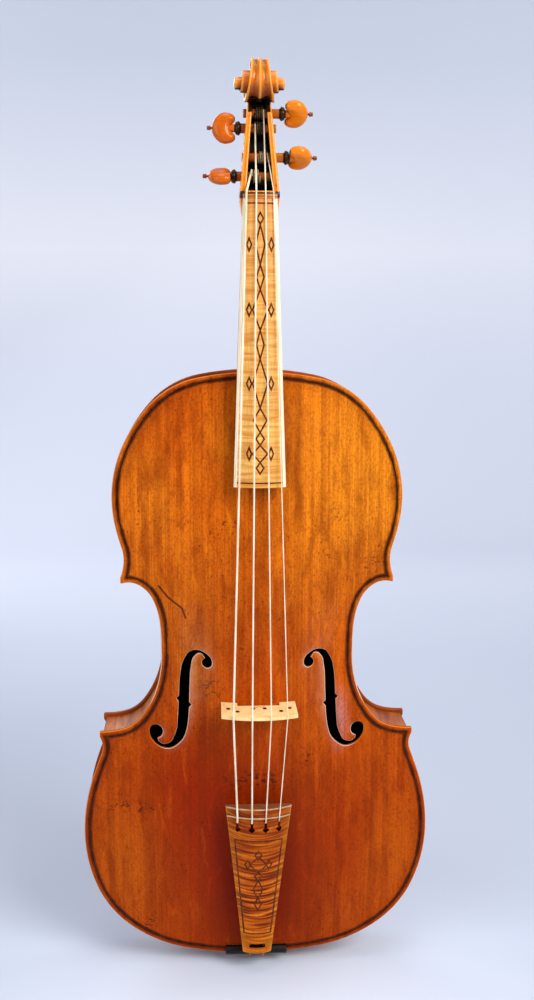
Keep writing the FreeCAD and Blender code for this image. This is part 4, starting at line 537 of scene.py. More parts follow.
def honey_veneer():
    """The pale facing of the fingerboard."""
    wood = Finish("board_veneer", Roughness=0.38, Coat_Weight=0.06, Coat_Roughness=0.2,
                  Specular_IOR_Level=0.15)
    ripple = wood.grain((26, 40, 2.3), 2.0, rough=0.5, bend=0.5)
    wide = wood.grain((40, 60, 11), 2.0)
    pore = wood.grain((0.8, 3, 14), 2.0)
    wood.bands(ripple, (0.36, 212, 142, 56), (0.50, 232, 172, 84), (0.64, 246, 198, 112))
    wood.lay(wood.fit(wide, 0.40, 0.66, 0.30, 0.0), 204, 128, 58)
    wood.lay(wood.fit(pore, 0.40, 0.56, 0.25, 0.0), 186, 116, 56)
    wood.lay(wood.fit(wood.z, 0.50, 0.61, 0.0, 0.45), 204, 130, 62)
    wood.relief(pore, 0.03)
    return wood.paint()


def painted_shade_in_bores(wood, facing):
    """Painted shade on the walls of keyholes and slot, and deep in the keyholes."""
    steep = wood.fit(facing, 0.7, 0.5)
    arched = wood.sum("MULTIPLY_ADD", wood.times(wood.x, wood.x), -9.26, wood.y)
    deep = wood.fit(wood.sum("MULTIPLY_ADD", wood.z, 0.138, arched), -0.0400, -0.0396)
    inside_keyhole = wood.sum("MAXIMUM", steep, deep)
    bores = [(centre, 0.0085, inside_keyhole) for centre in KEYHOLES] + [(GUT_SLOT, 0.0100, steep)]
    for centre, reach, bore in bores:
        dark = wood.fit(wood.patch(centre, (reach, 0.5, reach)), 0.0, 0.15)
        wood.lay(wood.times(dark, bore), 22, 8, 3)


def tiger_veneer():
    """The bold facing of the tailpiece, browner at its top, with a painted highlight on its edges."""
    wood = Finish("tailpiece_veneer", Roughness=0.3, Coat_Weight=0.05, Coat_Roughness=0.15,
                  Specular_IOR_Level=0.06)
    sagged = wood.sum("MULTIPLY_ADD", wood.times(wood.x, wood.x), -9.0, wood.z)
    bold = wood.grain((30, 60, 1.9), 1.0, wood.point(wood.x, wood.y, sagged), 0.5, 0.4)
    pore = wood.grain((0.8, 3, 12), 2.0)
    wood.bands(bold, (0.38, 92, 24, 0), (0.47, 150, 60, 2), (0.56, 192, 90, 8), (0.68, 222, 126, 22))
    wood.lay(wood.fit(wood.z, 0.055, 0.125, 0.0, 0.45), 140, 50, 0)
    wood.lay(wood.fit(wood.z, 0.040, 0.012, 0.0, 0.5), 214, 120, 12)
    wood.lay(wood.fit(pore, 0.40, 0.56, 0.25, 0.0), 120, 52, 10)
    facing = wood.sum("ABSOLUTE", wood.normal(1))
    # Painted highlight on the filed edges.
    wood.lay(wood.fit(facing, 0.96, 0.75, 0.0, 0.6), 236, 158, 50)
    painted_shade_in_bores(wood, facing)
    wood.relief(bold, 0.03)
    return wood.paint()


def old_strip():
    """Pale bone on its front, browned on top."""
    bone = Finish("old_bone", Specular_IOR_Level=0.2)
    lumps = bone.grain((3, 3, 1.2))
    bone.colour = seen(170, 130, 96)
    bone.lay(bone.fit(lumps, 0.35, 0.65), 206, 172, 136)
    bone.lay(bone.fit(bone.normal(2), 0.35, 0.75, 0.0, 0.9), 120, 56, 14)
    bone.relief(lumps, 0.03)
    return bone.paint(lumps, 0.3, 0.4)


board_face, tail_face, old_bone = honey_veneer(), tiger_veneer(), old_strip()
print("finishes:", board_face.name, tail_face.name, old_bone.name)

# %% [markdown]
# ## Bridge, pegs, gut and nut
# The bridge is bare maple gone yellow, with short dark flecks, painted shade in its holes and a
# smile of a line on top. Pegs and button are a glossy orange fruitwood, browner on the shafts and
# black at the collars. The strings are gut: pale, twisted and slightly see-through, with painted
# shade where they run in the pegbox. The nut is honey wood with a dark line, and painted shade along
# its top. Each gets its own few coats, because each is looked at near to.

# %% Small finishes
BRIDGE_HOLES = [(a * 0.058, 0.040 + b * 0.032) for a, b in ((0.41, 0.35), (0.29, 0.54), (0.077, 0.36))]
SMILE = [(x * MM, y * MM, 0.2225)
         for x, y in ((-4.5, -47.0), (-2.4, -49.2), (0, -47.4), (2.4, -49.2), (4.5, -47.0))]
GUT_TWIST = 1.3 * MM


def bare_bridge():
    """Unvarnished maple with flecks, and painted shade in its holes."""
    wood = Finish("bridge_maple", Specular_IOR_Level=0.15)
    flecks = wood.grain((1.3, 0.6, 0.5), 1.0)
    clouds = wood.grain((14, 10, 10), 2.0)
    wood.bands(clouds, (0.3, 238, 198, 128), (0.7, 250, 220, 160))
    wood.lay(wood.fit(flecks, 0.60, 0.70, 0.0, 0.4), 176, 120, 62)
    for across, forward in BRIDGE_HOLES:
        for side in (-1, 1):
            # Painted shade in each hole.
            hole_shade = wood.patch((side * across, -forward, 0.2205), (0.0026, 0.0036, 0.1))
            wood.lay(wood.fit(hole_shade, 0.15, 0.50), 84, 34, 8)
    wood.lay(wood.times(wood.stroke(SMILE, 0.0018, (1, 1, 0)), 0.7), 196, 92, 44)
    wood.relief(flecks, 0.03)
    return wood.paint(clouds, 0.4, 0.52)


def glossy_fruitwood():
    """Orange wood of the pegs, redder on the bass side, and browner on the shafts."""
    wood = Finish("peg_wood", Coat_Weight=0.4, Coat_Roughness=0.04, Specular_IOR_Level=0.06)
    streaks = wood.grain((9, 1.6, 1.6), bend=0.6)
    wood.bands(streaks, (0.30, 198, 90, 6), (0.50, 212, 106, 10), (0.70, 222, 120, 16))
    wood.lay(wood.fit(wood.grain((9, 9, 9), 2.0), 0.50, 0.75, 0.0, 0.35), 170, 66, 4)
    wood.lay(wood.fit(wood.x, 0.0, -0.01, 0.0, 0.35), 160, 48, 0)
    wood.lay(wood.fit(wood.x, 0.0, 0.01, 0.0, 0.40), 238, 142, 20)
    wood.lay(wood.times(wood.kept("on_shaft"), 0.6), 122, 60, 12)
    lay_patina_and_painted_light(wood, (60, 20, 4), (240, 156, 56), 0.75, 0.3)
    wood.relief(streaks, 0.02)
    return wood.paint(streaks, 0.16, 0.24)


def twisted_gut():
    """Gut with the fine slant of its twist, and painted shade in the pegbox."""
    gut = Finish("gut", Roughness=0.36, Subsurface_Weight=0.25, Subsurface_Scale=0.001,
                 Specular_IOR_Level=0.5)
    slant = gut.sum("ADD", gut.z, gut.times(gut.sum("ADD", gut.x, gut.y), 0.9))
    wave = gut.sum("SINE", gut.times(slant, 2 * math.pi / GUT_TWIST))
    twist = gut.sum("MULTIPLY_ADD", wave, 0.5, 0.5)
    gut.colour = seen(226, 206, 172)
    gut.lay(gut.fit(gut.grain((3, 3, 30), 2.0), 0.35, 0.65), 250, 240, 218)
    gut.lay(gut.times(twist, 0.25), 190, 158, 112)
    # Painted shade where the strings run in the pegbox.
    gut.lay(gut.fit(gut.z, 0.620, 0.668, 0.0, 0.6), 120, 96, 60)
    gut.relief(twist, 0.04)
    return gut.paint()


def banded_nut():
    """Honey wood with a dark line in it, and painted shade along its top."""
    wood = Finish("nut_wood", Roughness=0.34, Coat_Weight=0.1, Coat_Roughness=0.15,
                  Specular_IOR_Level=0.15)
    low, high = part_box("nut")
    share = wood.fit(wood.z, low.z, high.z, smooth=False)
    # The last band, near black at the top, is painted shade.
    wood.bands(share, (0.0, 206, 128, 50), (0.22, 206, 128, 50), (0.27, 96, 30, 8), (0.38, 96, 30, 8),
               (0.43, 214, 140, 60), (0.62, 190, 112, 40), (0.74, 40, 16, 6))
    wood.lay(wood.fit(wood.grain((6, 2, 1), 2.0), 0.4, 0.6, 0.25, 0.0), 140, 76, 32)
    return wood.paint()


bridge_wood, peg_wood = bare_bridge(), glossy_fruitwood()
gut_finish, nut_finish = twisted_gut(), banded_nut()
print("finishes:", bridge_wood.name, peg_wood.name, gut_finish.name, nut_finish.name)

# %% [markdown]
# ## Quiet materials
# The rest shows little: dark walnut lines and purfling, ivory strips, ebony in the saddle, old dark
# gut on the pegs and under the tailpiece, iron nails, and the wood inside, dark brown as painted
# shade. Two near colours in a noise, with the same noise as relief, are enough for them, so they
# share one recipe.

# %% Quiet materials
QUIET = (  # name, two colours, size of the lumps in millimetres, roughness from and to, how it mirrors
    ("inlay_lines", (66, 24, 6), (112, 50, 14), (2, 2, 6), 0.35, 0.5, 0.1),
    ("purfling", (30, 12, 4), (62, 26, 8), (2, 2, 9), 0.35, 0.5, 0.08),
    ("pip_wood", (92, 36, 10), (140, 62, 18), (2, 1, 1), 0.2, 0.3, 0.3),
    ("saddle_ebony", (8, 7, 7), (22, 17, 14), (1, 1, 6), 0.25, 0.4, 0.25),
    ("old_gut", (104, 66, 34), (150, 108, 64), (1, 1, 2), 0.35, 0.5, 0.3),
    ("wound_gut", (118, 100, 70), (186, 168, 130), (1.2, 1.2, 1.2), 0.35, 0.5, 0.1),
    ("shaded_gut", (44, 32, 20), (96, 76, 50), (1.2, 1.2, 1.2), 0.35, 0.5, 0.05),
    # inner_wood is dark as painted shade inside the body.
    ("inner_wood", (34, 22, 12), (56, 38, 20), (3, 3, 40), 0.6, 0.8, 0.1),
    ("board_core", (150, 92, 44), (186, 120, 60), (2, 3, 40), 0.45, 0.6, 0.5))


def quiet_finish(name, low, high, size, smoothest, roughest, mirrors=0.5, **surface):
    """Two near colours in a noise of that size."""
    made = Finish(name, Specular_IOR_Level=mirrors, **surface)
    lumps = made.grain(size)
    made.relief(lumps, 0.03)
    made.colour = seen(*low)
    made.lay(made.fit(lumps, 0.35, 0.65), *high)
    return made.paint(lumps, smoothest, roughest)


quiet = {row[0]: quiet_finish(*row) for row in QUIET}
quiet["nail_iron"] = quiet_finish("nail_iron", (90, 86, 84), (120, 112, 104), (2, 2, 2), 0.35, 0.5,
                                  Metallic=0.9)
quiet["ivory"] = quiet_finish("ivory", (228, 208, 172), (248, 234, 208), (0.7, 3, 26), 0.28, 0.36, 0.3,
                              Subsurface_Weight=0.1, Subsurface_Scale=0.002)
print("finishes in all:", len(bpy.data.materials))

# %% [markdown]
# ## Finishes on the frame's own nodes
# Where the solid model already has the right shape, its node stays and only wears a finish. The
# table follows the record's material slots, so every node is served, and a few nodes have their own
# line. The windings of the two upper pegs lie deeper in the shade, so they wear a darker gut.

# %% Dress the nodes
BY_SLOT = {"spruce_varnished": spruce, "back_maple": back_maple, "rib_maple": rib_maple,
           "neck_maple": neck_maple, "flamed_veneer": board_face, "nut_wood": nut_finish,
           "peg_wood": peg_wood, "gut": gut_finish, "bridge_maple": bridge_wood, **quiet}
OWN_FINISH = {"tailpiece": tail_face, "tailpiece_fret": old_bone, "tailpiece_end_strip": old_bone,
              "tail_gut": quiet["old_gut"]}
for name in "cgda":
    OWN_FINISH["peg_pip_" + name] = quiet["pip_wood"]
    OWN_FINISH["winding_" + name] = quiet["shaded_gut" if name in "gd" else "wound_gut"]
for row in frame["record"]["subparts"]:
    node = row["node"]
    wear(nodes[node], OWN_FINISH.get(node, BY_SLOT[row["material_slot"]]))

# %% [markdown]
# ## Softened edges
# No edge of an old instrument is sharp: nut, saddle, bridge and the end of the board are eased with
# a file. A Bevel modifier on every sharp edge rounds them without touching the node's own mesh. The
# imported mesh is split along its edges, so a Weld goes first, and a weighted normal last keeps the
# flats flat. The ribs only need these two: they are bent, and their ends meet in a mitre.

# %% Soften
SEAM = 0.004 * MM
SHARP_ANGLE = math.radians(40)
EASED = {f"rib_{part}_{side}": 0 for part in ("upper", "waist", "lower") for side in ("bass", "treble")}
EASED.update({"saddle": 0.6, "nut": 0.5, "fingerboard_core": 0.4, "bridge": 0.35, "tailpiece_fret": 0.3,
              "tailpiece_end_strip": 0.2})


def soften(piece, width):
    """Rounds the sharp edges of a piece by width millimetres."""
    weld = piece.modifiers.new("join_split_edges", "WELD")
    weld.merge_threshold = SEAM
    if width:
        bevel = piece.modifiers.new("eased_edges", "BEVEL")
        bevel.width, bevel.segments = width * MM, 3
        bevel.limit_method, bevel.angle_limit = "ANGLE", SHARP_ANGLE
        bevel.harden_normals = bevel.use_clamp_overlap = False
    shine = piece.modifiers.new("flat_flats", "WEIGHTED_NORMAL")
    shine.keep_sharp = True
    piece.data.polygons.foreach_set("use_smooth", [True] * len(piece.data.polygons))


for name, width in EASED.items():
    soften(nodes[name], width)
print("softened", len(EASED), "nodes")

# %% [markdown]
# ## Rounded plates
# Belly and back end in a rounded edge that stands 3 mm over the ribs, with the purfling's groove
# just inside. One bevel width for the whole mesh would be held small by that narrow groove, so each
# plate is copied, and only the edges of its outline and its sound holes are rounded. How near a
# point lies to the purfling is kept as a value on the mesh, and the varnish lays a band of old dirt
# and painted shade there.

# %% Round the plates
CORNER_ANGLE, SHADING_ANGLE = math.radians(38), math.radians(35)
JOINT, GROOVE = 0.2 * MM, 2.2 * MM
DIRT_REACH, DIRT_DETAIL = 11 * MM, 3.5 * MM


def welded(node):
    """A bmesh of a node's mesh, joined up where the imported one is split."""
    work = bmesh.new()
    work.from_mesh(nodes[node].data)
    bmesh.ops.remove_doubles(work, verts=work.verts, dist=SEAM)
    return work


def stand_in(work, name, node, material):
    """An object of the reworked mesh, smooth but for its sharp edges, that stands for the node."""
    for face in work.faces:
        face.smooth = True
    for edge in work.edges:
        edge.smooth = len(edge.link_faces) == 2 and edge.calc_face_angle(0) < SHADING_ANGLE
    mesh = bpy.data.meshes.new(name)
    work.to_mesh(mesh)
    work.free()
    piece = wear(add(name, mesh), material)
    body = nodes[node].get("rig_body")
    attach(piece, body)
    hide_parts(node)
    return piece


def from_purfling(tree, edge):
    """How far the middle of an edge is from the purfling."""
    return tree.find_nearest((edge.verts[0].co + edge.verts[1].co) / 2)[3]


def plate_corners(work, tree):
    """The sharp edges of outline and sound holes: not in the groove, and not on the middle joint."""
    return [edge for edge in work.edges
            if len(edge.link_faces) == 2 and edge.calc_face_angle(0) >= CORNER_ANGLE
            and abs(edge.verts[0].co.x + edge.verts[1].co.x) / 2 > JOINT
            and from_purfling(tree, edge) > GROOVE]


def by_sound_hole(edge, tree):
    """Whether an edge belongs to a sound hole: in the belly's middle, away from the purfling."""
    x, y, z = place = edge.verts[0].co
    return y < 0 and abs(x) > 0.015 and 0.165 < z < 0.285 and tree.find_nearest(place)[3] > 0.0065


def note_purfling(work, tree):
    """Keeps on each point how near it lies to the purfling, 1 on it and 0 at its reach."""
    bmesh.ops.triangulate(work, faces=work.faces[:])
    for _ in range(3):
        long = [edge for edge in work.edges
                if edge.calc_length() > DIRT_DETAIL and from_purfling(tree, edge) < DIRT_REACH]
        bmesh.ops.subdivide_edges(work, edges=long, cuts=1)
        bmesh.ops.triangulate(work, faces=[face for face in work.faces if len(face.verts) > 3])
    near = work.verts.layers.float.new("by_purfling")
    for vert in work.verts:
        vert[near] = max(0.0, 1.0 - tree.find_nearest(vert.co)[3] / DIRT_REACH)


def round_plate(node, purfling_node, width, material):
    """A copy of one half plate with rounded edges, wider on its outline than on its sound hole."""
    work = welded(node)
    strip = bmesh.new()
    strip.from_mesh(nodes[purfling_node].data)
    tree = BVHTree.FromBMesh(strip)
    strip.free()
    corners = plate_corners(work, tree)
    for group, offset in ((False, width), (True, 0.6)):
        chosen = [edge for edge in corners if edge.is_valid and by_sound_hole(edge, tree) == group]
        bmesh.ops.bevel(work, geom=chosen, offset=offset * MM, segments=3, profile=0.5, affect="EDGES")
    note_purfling(work, tree)
    piece = stand_in(work, node + "_rounded", node, material)
    print(node, "rounded along", len(corners), "edges, faces:", len(piece.data.polygons))


for half in ("bass", "treble"):
    round_plate(f"belly_{half}_half", "purfling_belly", 1.3, spruce)
    round_plate(f"back_{half}_half", "purfling_back", 1.2, back_maple)

# %% [markdown]
# ## The tailpiece's edges
# The tailpiece is filed round along its two long sides and its foot, and its lower corners are cut
# to small arcs. Its keyholes, slot and lines stay crisp, so again a copy is made and only the edges
# of its outline are rounded.

# %% Round the tailpiece
TAIL_FOOT, TAIL_HALF_FOOT, TAIL_WIDER = 9.4 * MM, 11.5 * MM, 14.3 / 133.2
FOOT_ARC, FILED = 2.6 * MM, 0.7 * MM


def tail_side(point):
    """How far inside the tailpiece's long side a point lies."""
    return TAIL_HALF_FOOT + (point.z - TAIL_FOOT) * TAIL_WIDER - abs(point.x)


def by_foot_corner(point):
    """Whether a point lies on one of the two corners of the foot."""
    return point.z < TAIL_FOOT + 0.5 * MM and tail_side(point) < 0.7 * MM


def on_outline(point):
    """Whether a point lies on a long side, on the foot, or on the arc between them."""
    return (tail_side(point) < 0.5 * MM or point.z < TAIL_FOOT + 0.4 * MM
            or (point.z < TAIL_FOOT + 3.2 * MM and tail_side(point) < 3.2 * MM))


def sharp_edges(work, wanted):
    """The edges bent by more than 50 degrees whose two ends are wanted."""
    return [edge for edge in work.edges if len(edge.link_faces) == 2
            and edge.calc_face_angle(0) > math.radians(50) and all(wanted(v.co) for v in edge.verts)]


def round_tailpiece():
    """A copy of the tailpiece with arcs at its lower corners and filed outer edges."""
    work = welded("tailpiece")
    corners = [edge for edge in sharp_edges(work, by_foot_corner)
               if abs(edge.verts[0].co.y - edge.verts[1].co.y) > 1.5 * MM]
    bmesh.ops.bevel(work, geom=corners, offset=FOOT_ARC, segments=4, profile=0.5, affect="EDGES")
    filed = sharp_edges(work, on_outline)
    bmesh.ops.bevel(work, geom=filed, offset=FILED, segments=2, profile=0.5, affect="EDGES")
    piece = stand_in(work, "tailpiece_rounded", "tailpiece", tail_face)
    print("tailpiece:", len(corners), "corners,", len(filed), "filed edges")


round_tailpiece()

# %% [markdown]
# ## A carving block
# The head of a viola is carved: a spiral volute with two flutes round its outside and scooped
# sides. Boxes and tubes can't give that, so it is carved the way a carver works, by taking wood
# away. A block is filled with numbers, one every 0.4 mm or so: how deep that point lies in the
# wood. Each cut keeps the smaller of two depths. Then a skin is laid where the depth is nought,
# with one vertex in every cell that it crosses. All measures of the carving are in millimetres.

# %% Carve


def smallest(*depths):
    """Wood that is inside every one of these shapes."""
    least = depths[0]
    for depth in depths[1:]:
        least = np.minimum(least, depth)
    return least


def at(value, line):
    """What a line of (value, result) pairs gives at a value."""
    return np.interp(value, *np.transpose(line))


def block(low, high, cell):
    """Grid coordinates X, Y, Z of a block from low to high."""
    axes = [np.arange(a, b + cell, cell) for a, b in zip(low, high)]
    return np.meshgrid(*axes, indexing="ij", sparse=True)


def crossings(depth):
    """The cells of a block that the skin crosses, and where in each cell it lies, from 0 to 1."""
    wood = depth > 0
    cells = tuple(n - 1 for n in depth.shape)
    total, count = np.zeros(cells + (3,)), np.zeros(cells)
    for axis in range(3):
        u, v = [a for a in range(3) if a != axis]
        for i in (0, 1):
            for j in (0, 1):
                start = [slice(0, -1)] * 3
                start[u], start[v] = slice(i, i + cells[u]), slice(j, j + cells[v])
                stop = list(start)
                stop[axis] = slice(1, None)
                a, b = depth[tuple(start)], depth[tuple(stop)]
                crossed = wood[tuple(start)] != wood[tuple(stop)]
                total[..., axis] += np.where(crossed, a / np.where(crossed, a - b, 1), 0)
                total[..., u] += i * crossed
                total[..., v] += j * crossed
                count += crossed
    used = count > 0
    return used, total[used] / count[used][:, None]


def quads_round(wood, index):
    """A quad round each grid line whose ends lie on two sides of the skin."""
    quads = []
    for axis in range(3):
        u, v = (axis + 1) % 3, (axis + 2) % 3
        start, stop = [slice(1, -1)] * 3, [slice(1, -1)] * 3
        start[axis], stop[axis] = slice(0, -1), slice(1, None)
        a, b = wood[tuple(start)], wood[tuple(stop)]
        for flag, order in ((a & ~b, 1), (~a & b, -1)):
            line = np.argwhere(flag) + 1
            line[:, axis] -= 1
            ring = []
            for du, dv in ((-1, -1), (0, -1), (0, 0), (-1, 0))[::order]:
                near = line.copy()
                near[:, u] += du
                near[:, v] += dv
                ring.append(index[tuple(near.T)])
            quads.append(np.stack(ring, axis=1))
    return np.concatenate(quads)


def skin(depth, low, cell, name):
    """Lays the skin of a block of depths, as a new object."""
    used, share = crossings(depth)
    index = np.full(used.shape, -1)
    index[used] = np.arange(used.sum())
    points = (np.array(low) + cell * (np.argwhere(used) + share)) * MM
    mesh = bpy.data.meshes.new(name)
    mesh.from_pydata(points.tolist(), [], quads_round(depth > 0, index).tolist())
    mesh.shade_smooth()
    print(name, "carved:", len(points), "points")
    return add(name, mesh)


print("carving block ready")

# %% [markdown]
# ## The spiral of the volute
# The volute winds inwards by quarter turns, each arc 0.84 times as large as the one before, round
# an eye 16 mm in front of the ribs' middle. Seen from the side, every point near it belongs to one
# turn, with an outer radius. Each inner turn is wider than the one outside it, until the eye stands
# out most.

# %% The volute's measures
EYE_Y, EYE_Z = -16.0, 690.5
EYE_RADIUS, EYE_HALF_WIDTH, EYE_CROWN = 4.4, 19.0, 0.05
FIRST_RADIUS, SHRINK = 21.0, 0.84
LAST_QUARTER = 28
HALF_WIDTHS = (  # after that many quarter turns
    (0, 7.8), (0.5, 6.9), (1, 6.3), (1.5, 6.7), (2, 8.2), (2.5, 10.2), (3, 11.4), (4, 12.2), (5, 12.9),
    (6, 13.6), (7, 14.5), (8, 15.5), (9, 16.5), (10, 17.4), (11, 18.2), (12, 18.8), (16, 19.0))


def heading(quarters):
    """The way that many quarter turns point, from +Y over +Z."""
    return np.array([math.cos(quarters * math.pi / 2), math.sin(quarters * math.pi / 2)])


def volute_point(quarters):
    """A point of the spiral in side view (y, z)."""
    whole = int(math.floor(quarters))
    centre = np.array([EYE_Y, EYE_Z])
    for t in range(LAST_QUARTER, whole, -1):
        centre = centre - heading(t) * FIRST_RADIUS * (SHRINK ** (t - 1) - SHRINK ** t)
    return centre + heading(quarters) * FIRST_RADIUS * SHRINK ** whole


spiral = np.array([volute_point(q) - (EYE_Y, EYE_Z) for q in np.arange(0, 16, 0.05)])
spiral_angle = np.unwrap(np.arctan2(spiral[:, 1], spiral[:, 0])) / (math.pi / 2)
spiral_radius = np.hypot(spiral[:, 0], spiral[:, 1])
print("spiral from", spiral_radius[0].round(1), "to", spiral_radius[-1].round(1), "mm")

# %% [markdown]
# ## The head
# Below the volute the pegbox is a trough with straight cheeks. Its side outline is the one of the
# solid model: the front leans back a little, the back follows a long curve into the volute. The
# flutes run down the back to the neck. Each measure is a line of pairs, from below to above.

# %% The pegbox's measures
FRONT_LINE = ((590.0, -31.0), (611.4, -31.0), (670.0, -19.5), (678.0, -17.0))
SPINE = ((-16.3, 590.0), (-16.0, 607.0), (-11.0, 608.0), (-5.2, 612.0), (-2.8, 618.0), (-0.6, 624.0),
         (1.1, 631.0), (2.4, 638.0), (4.1, 648.0), (5.0, 655.0), (5.5, 660.0), (6.1, 668.0), (6.4, 674.0),
         (6.64, 688.5))
IN_THE_VOLUTE = ((5.4, 690.9), (-5.5, 691.0), (EYE_Y, EYE_Z), (-10.3, 681.0))
CHEEKS = ((590.0, 12.7), (606.5, 12.7), (608.5, 15.0), (670.0, 9.5), (688.5, 7.85), (711.5, 6.15))
TROUGH_FLOOR = ((613.0, -10.2), (618.0, -8.8), (624.0, -6.4), (631.0, -4.5), (638.0, -3.2), (648.0, -1.5),
                (655.0, -0.5), (660.0, 0.0), (668.0, 0.6), (676.0, 0.9))
TROUGH_WIDTHS = ((613.0, 10.0), (676.4, 5.2))
TROUGH_LOW, TROUGH_HIGH = 613.0, 679.0
print("pegbox from", FRONT_LINE[1][0], "to", SPINE[-1][1], "mm up")

# %% Carve the head
HEAD_CELL = 0.42
HEAD_LOW, HEAD_HIGH = (-20.2, -36.0, 600.0), (20.2, 10.0, 710.6)


def smooth_line(points, steps=10):
    """A smooth curve through the points, for outlines that were given by a few of them."""
    line = np.array(points, float)
    ends = np.vstack([2 * line[0] - line[1], line, 2 * line[-1] - line[-2]])
    share = np.arange(steps)[:, None] / steps
    parts = []
    for a, b, c, d in zip(ends, ends[1:], ends[2:], ends[3:]):
        parts.append(0.5 * (2 * b + (c - a) * share + (2 * a - 5 * b + 4 * c - d) * share ** 2
                            + (3 * b - a - 3 * c + d) * share ** 3))
    return np.vstack(parts + [line[-1:]])


def gap_to(line, u, v):
    """How far each point (u, v) is from a line of points."""
    least = np.full(np.broadcast(u, v).shape, 1e9)
    for (au, av), (bu, bv) in zip(line, line[1:]):
        du, dv = bu - au, bv - av
        along = np.clip(((u - au) * du + (v - av) * dv) / (du * du + dv * dv + 1e-12), 0, 1)
        least = np.minimum(least, (u - au - along * du) ** 2 + (v - av - along * dv) ** 2)
    return np.sqrt(least)


def depth_in(outline, u, v):
    """Depth inside a closed outline: the gap to it, negative outside."""
    inside = np.zeros(np.broadcast(u, v).shape, bool)
    for (au, av), (bu, bv) in zip(outline, np.roll(outline, -1, axis=0)):
        if av != bv:
            inside ^= ((av > v) != (bv > v)) & (u < (bu - au) * (v - av) / (bv - av) + au)
    return np.where(inside, 1, -1) * gap_to(np.vstack([outline, outline[:1]]), u, v)


def ease(value):
    """0 to 1 with a soft start and end."""
    value = np.clip(value, 0, 1)
    return value * value * (3 - 2 * value)


def flute(share, deep):
    """The two hollows either side of a middle ridge; share is 0 at the ridge and 1 at the edge."""
    return deep * np.sin(np.pi * np.clip((share - 0.05) / 0.83, 0, 1)) ** 0.8


def bevelled(first, second):
    """A small bevel where two faces meet, from the depths under both."""
    return (first + second - 0.8) * 0.7


def volute_depth(x, y, z):
    """How deep each point lies in the eye or in one of the volute's three turns."""
    quarter = (np.arctan2(z - EYE_Z, y - EYE_Y) / (math.pi / 2)) % 4
    radius = np.hypot(y - EYE_Y, z - EYE_Z)
    wood = smallest(EYE_RADIUS - radius, EYE_HALF_WIDTH - EYE_CROWN * radius ** 2 - x)
    for turn in range(3):
        angle = quarter + 4 * turn
        outer = np.interp(angle, spiral_angle, spiral_radius)
        inner = np.interp(angle + 4, spiral_angle, spiral_radius)
        half = at(angle, HALF_WIDTHS)
        inward = np.clip((outer - 1.3 - radius) / (outer - 1.3 - inner), 0, 1)
        scoop = 0.36 * (outer - inner) * ease(angle / 1.2) * (1 - (1 - inward) ** 2.4)
        groove = flute(x / half, 1.9 * ease(3.9 - angle)) if turn == 0 else 0.0
        wood = np.maximum(wood, smallest(outer - groove - radius, half - scoop - x,
                                         bevelled(outer - radius, half - x)))
    return wood


def pegbox_depth(x, y, z):
    """How deep each point lies in the pegbox and the neck's top, outside the trough."""
    spine = smooth_line(SPINE)
    outline = np.vstack([spine, IN_THE_VOLUTE, np.array(FRONT_LINE)[2::-1, ::-1]])
    half = at(z, CHEEKS)
    side = depth_in(outline, y, z)
    back = gap_to(spine[12:], y, z) - flute(x / half, 1.3) * ease((z - 612) / 14)
    back = np.where(z > 687.5, 9.0, back)
    box = smallest(side, back, half - x, bevelled(side, half - x))
    trough = smallest(at(z, TROUGH_WIDTHS) - x, at(z, TROUGH_FLOOR) - y, z - TROUGH_LOW,
                      TROUGH_HIGH - z)
    return smallest(box, -trough)


def head_depth(x, y, z):
    """How deep each point lies in the wood of volute, pegbox and the neck's top."""
    return np.maximum(volute_depth(np.abs(x), y, z), pegbox_depth(np.abs(x), y, z))


head = skin(head_depth(*block(HEAD_LOW, HEAD_HIGH, HEAD_CELL)), HEAD_LOW, HEAD_CELL, "head_carved")

# %% [markdown]
# ## Neck and head in one
# The carved head and the neck are one piece of maple. The neck's own shape in the solid model is
# already good, so its mesh is cut off under the nut, joined to the carved head, and both are laid
# under one new skin by a Remesh modifier. A light smoothing takes away the last steps of the cells,
# as scrapers would.

# %% Join the neck to the head
NECK_CUT = 607.5 * MM
SKIN_CELL = 0.5 * MM


def cut_above(work, height):
    """Takes away what lies above that height and closes the cut."""
    everything = work.verts[:] + work.edges[:] + work.faces[:]
    cut = bmesh.ops.bisect_plane(work, geom=everything, plane_co=(0, 0, height), plane_no=(0, 0, 1),
                                 clear_outer=True)
    rim = [part for part in cut["geom_cut"] if isinstance(part, bmesh.types.BMEdge)]
    bmesh.ops.contextual_create(work, geom=rim)


def one_skin(piece):
    """A Remesh modifier and some smoothing, both applied."""
    remesh = piece.modifiers.new("one_skin", "REMESH")
    remesh.mode, remesh.voxel_size = "VOXEL", SKIN_CELL
    scrape = piece.modifiers.new("scraped", "SMOOTH")
    scrape.factor, scrape.iterations = 0.5, 3
    mesh = bpy.data.meshes.new_from_object(piece.evaluated_get(bpy.context.evaluated_depsgraph_get()))
    piece.modifiers.clear()
    piece.data = mesh
    mesh.shade_smooth()


work = welded("neck_and_scroll")
cut_above(work, NECK_CUT)
work.from_mesh(head.data)
work.to_mesh(head.data)
work.free()
one_skin(head)
print("neck and head:", len(head.data.polygons), "faces")

# %% [markdown]
# ## Dirt and painted shade in the hollows
# On old varnish the ridges are worn pale and the hollows hold dark dirt; here the pale ridges are
# also painted highlight and the dark hollows painted shade. Where a surface bends inwards is a
# property of its shape, so it is measured on the mesh: each point compares its normal with the way
# to its neighbours. The result is kept as a value on the points, and the patina's coats follow it.
# Near black is painted in a few more places, such as the trough, and under the volute's chin as
# painted shade; these are kept beside it.

# %% Note the hollows


def values(part, kind, width, as_type=float):
    """Rows of numbers from all of a mesh's points or edges."""
    rows = np.empty(len(part) * width, as_type)
    part.foreach_get(kind, rows)
    return rows.reshape(-1, width)


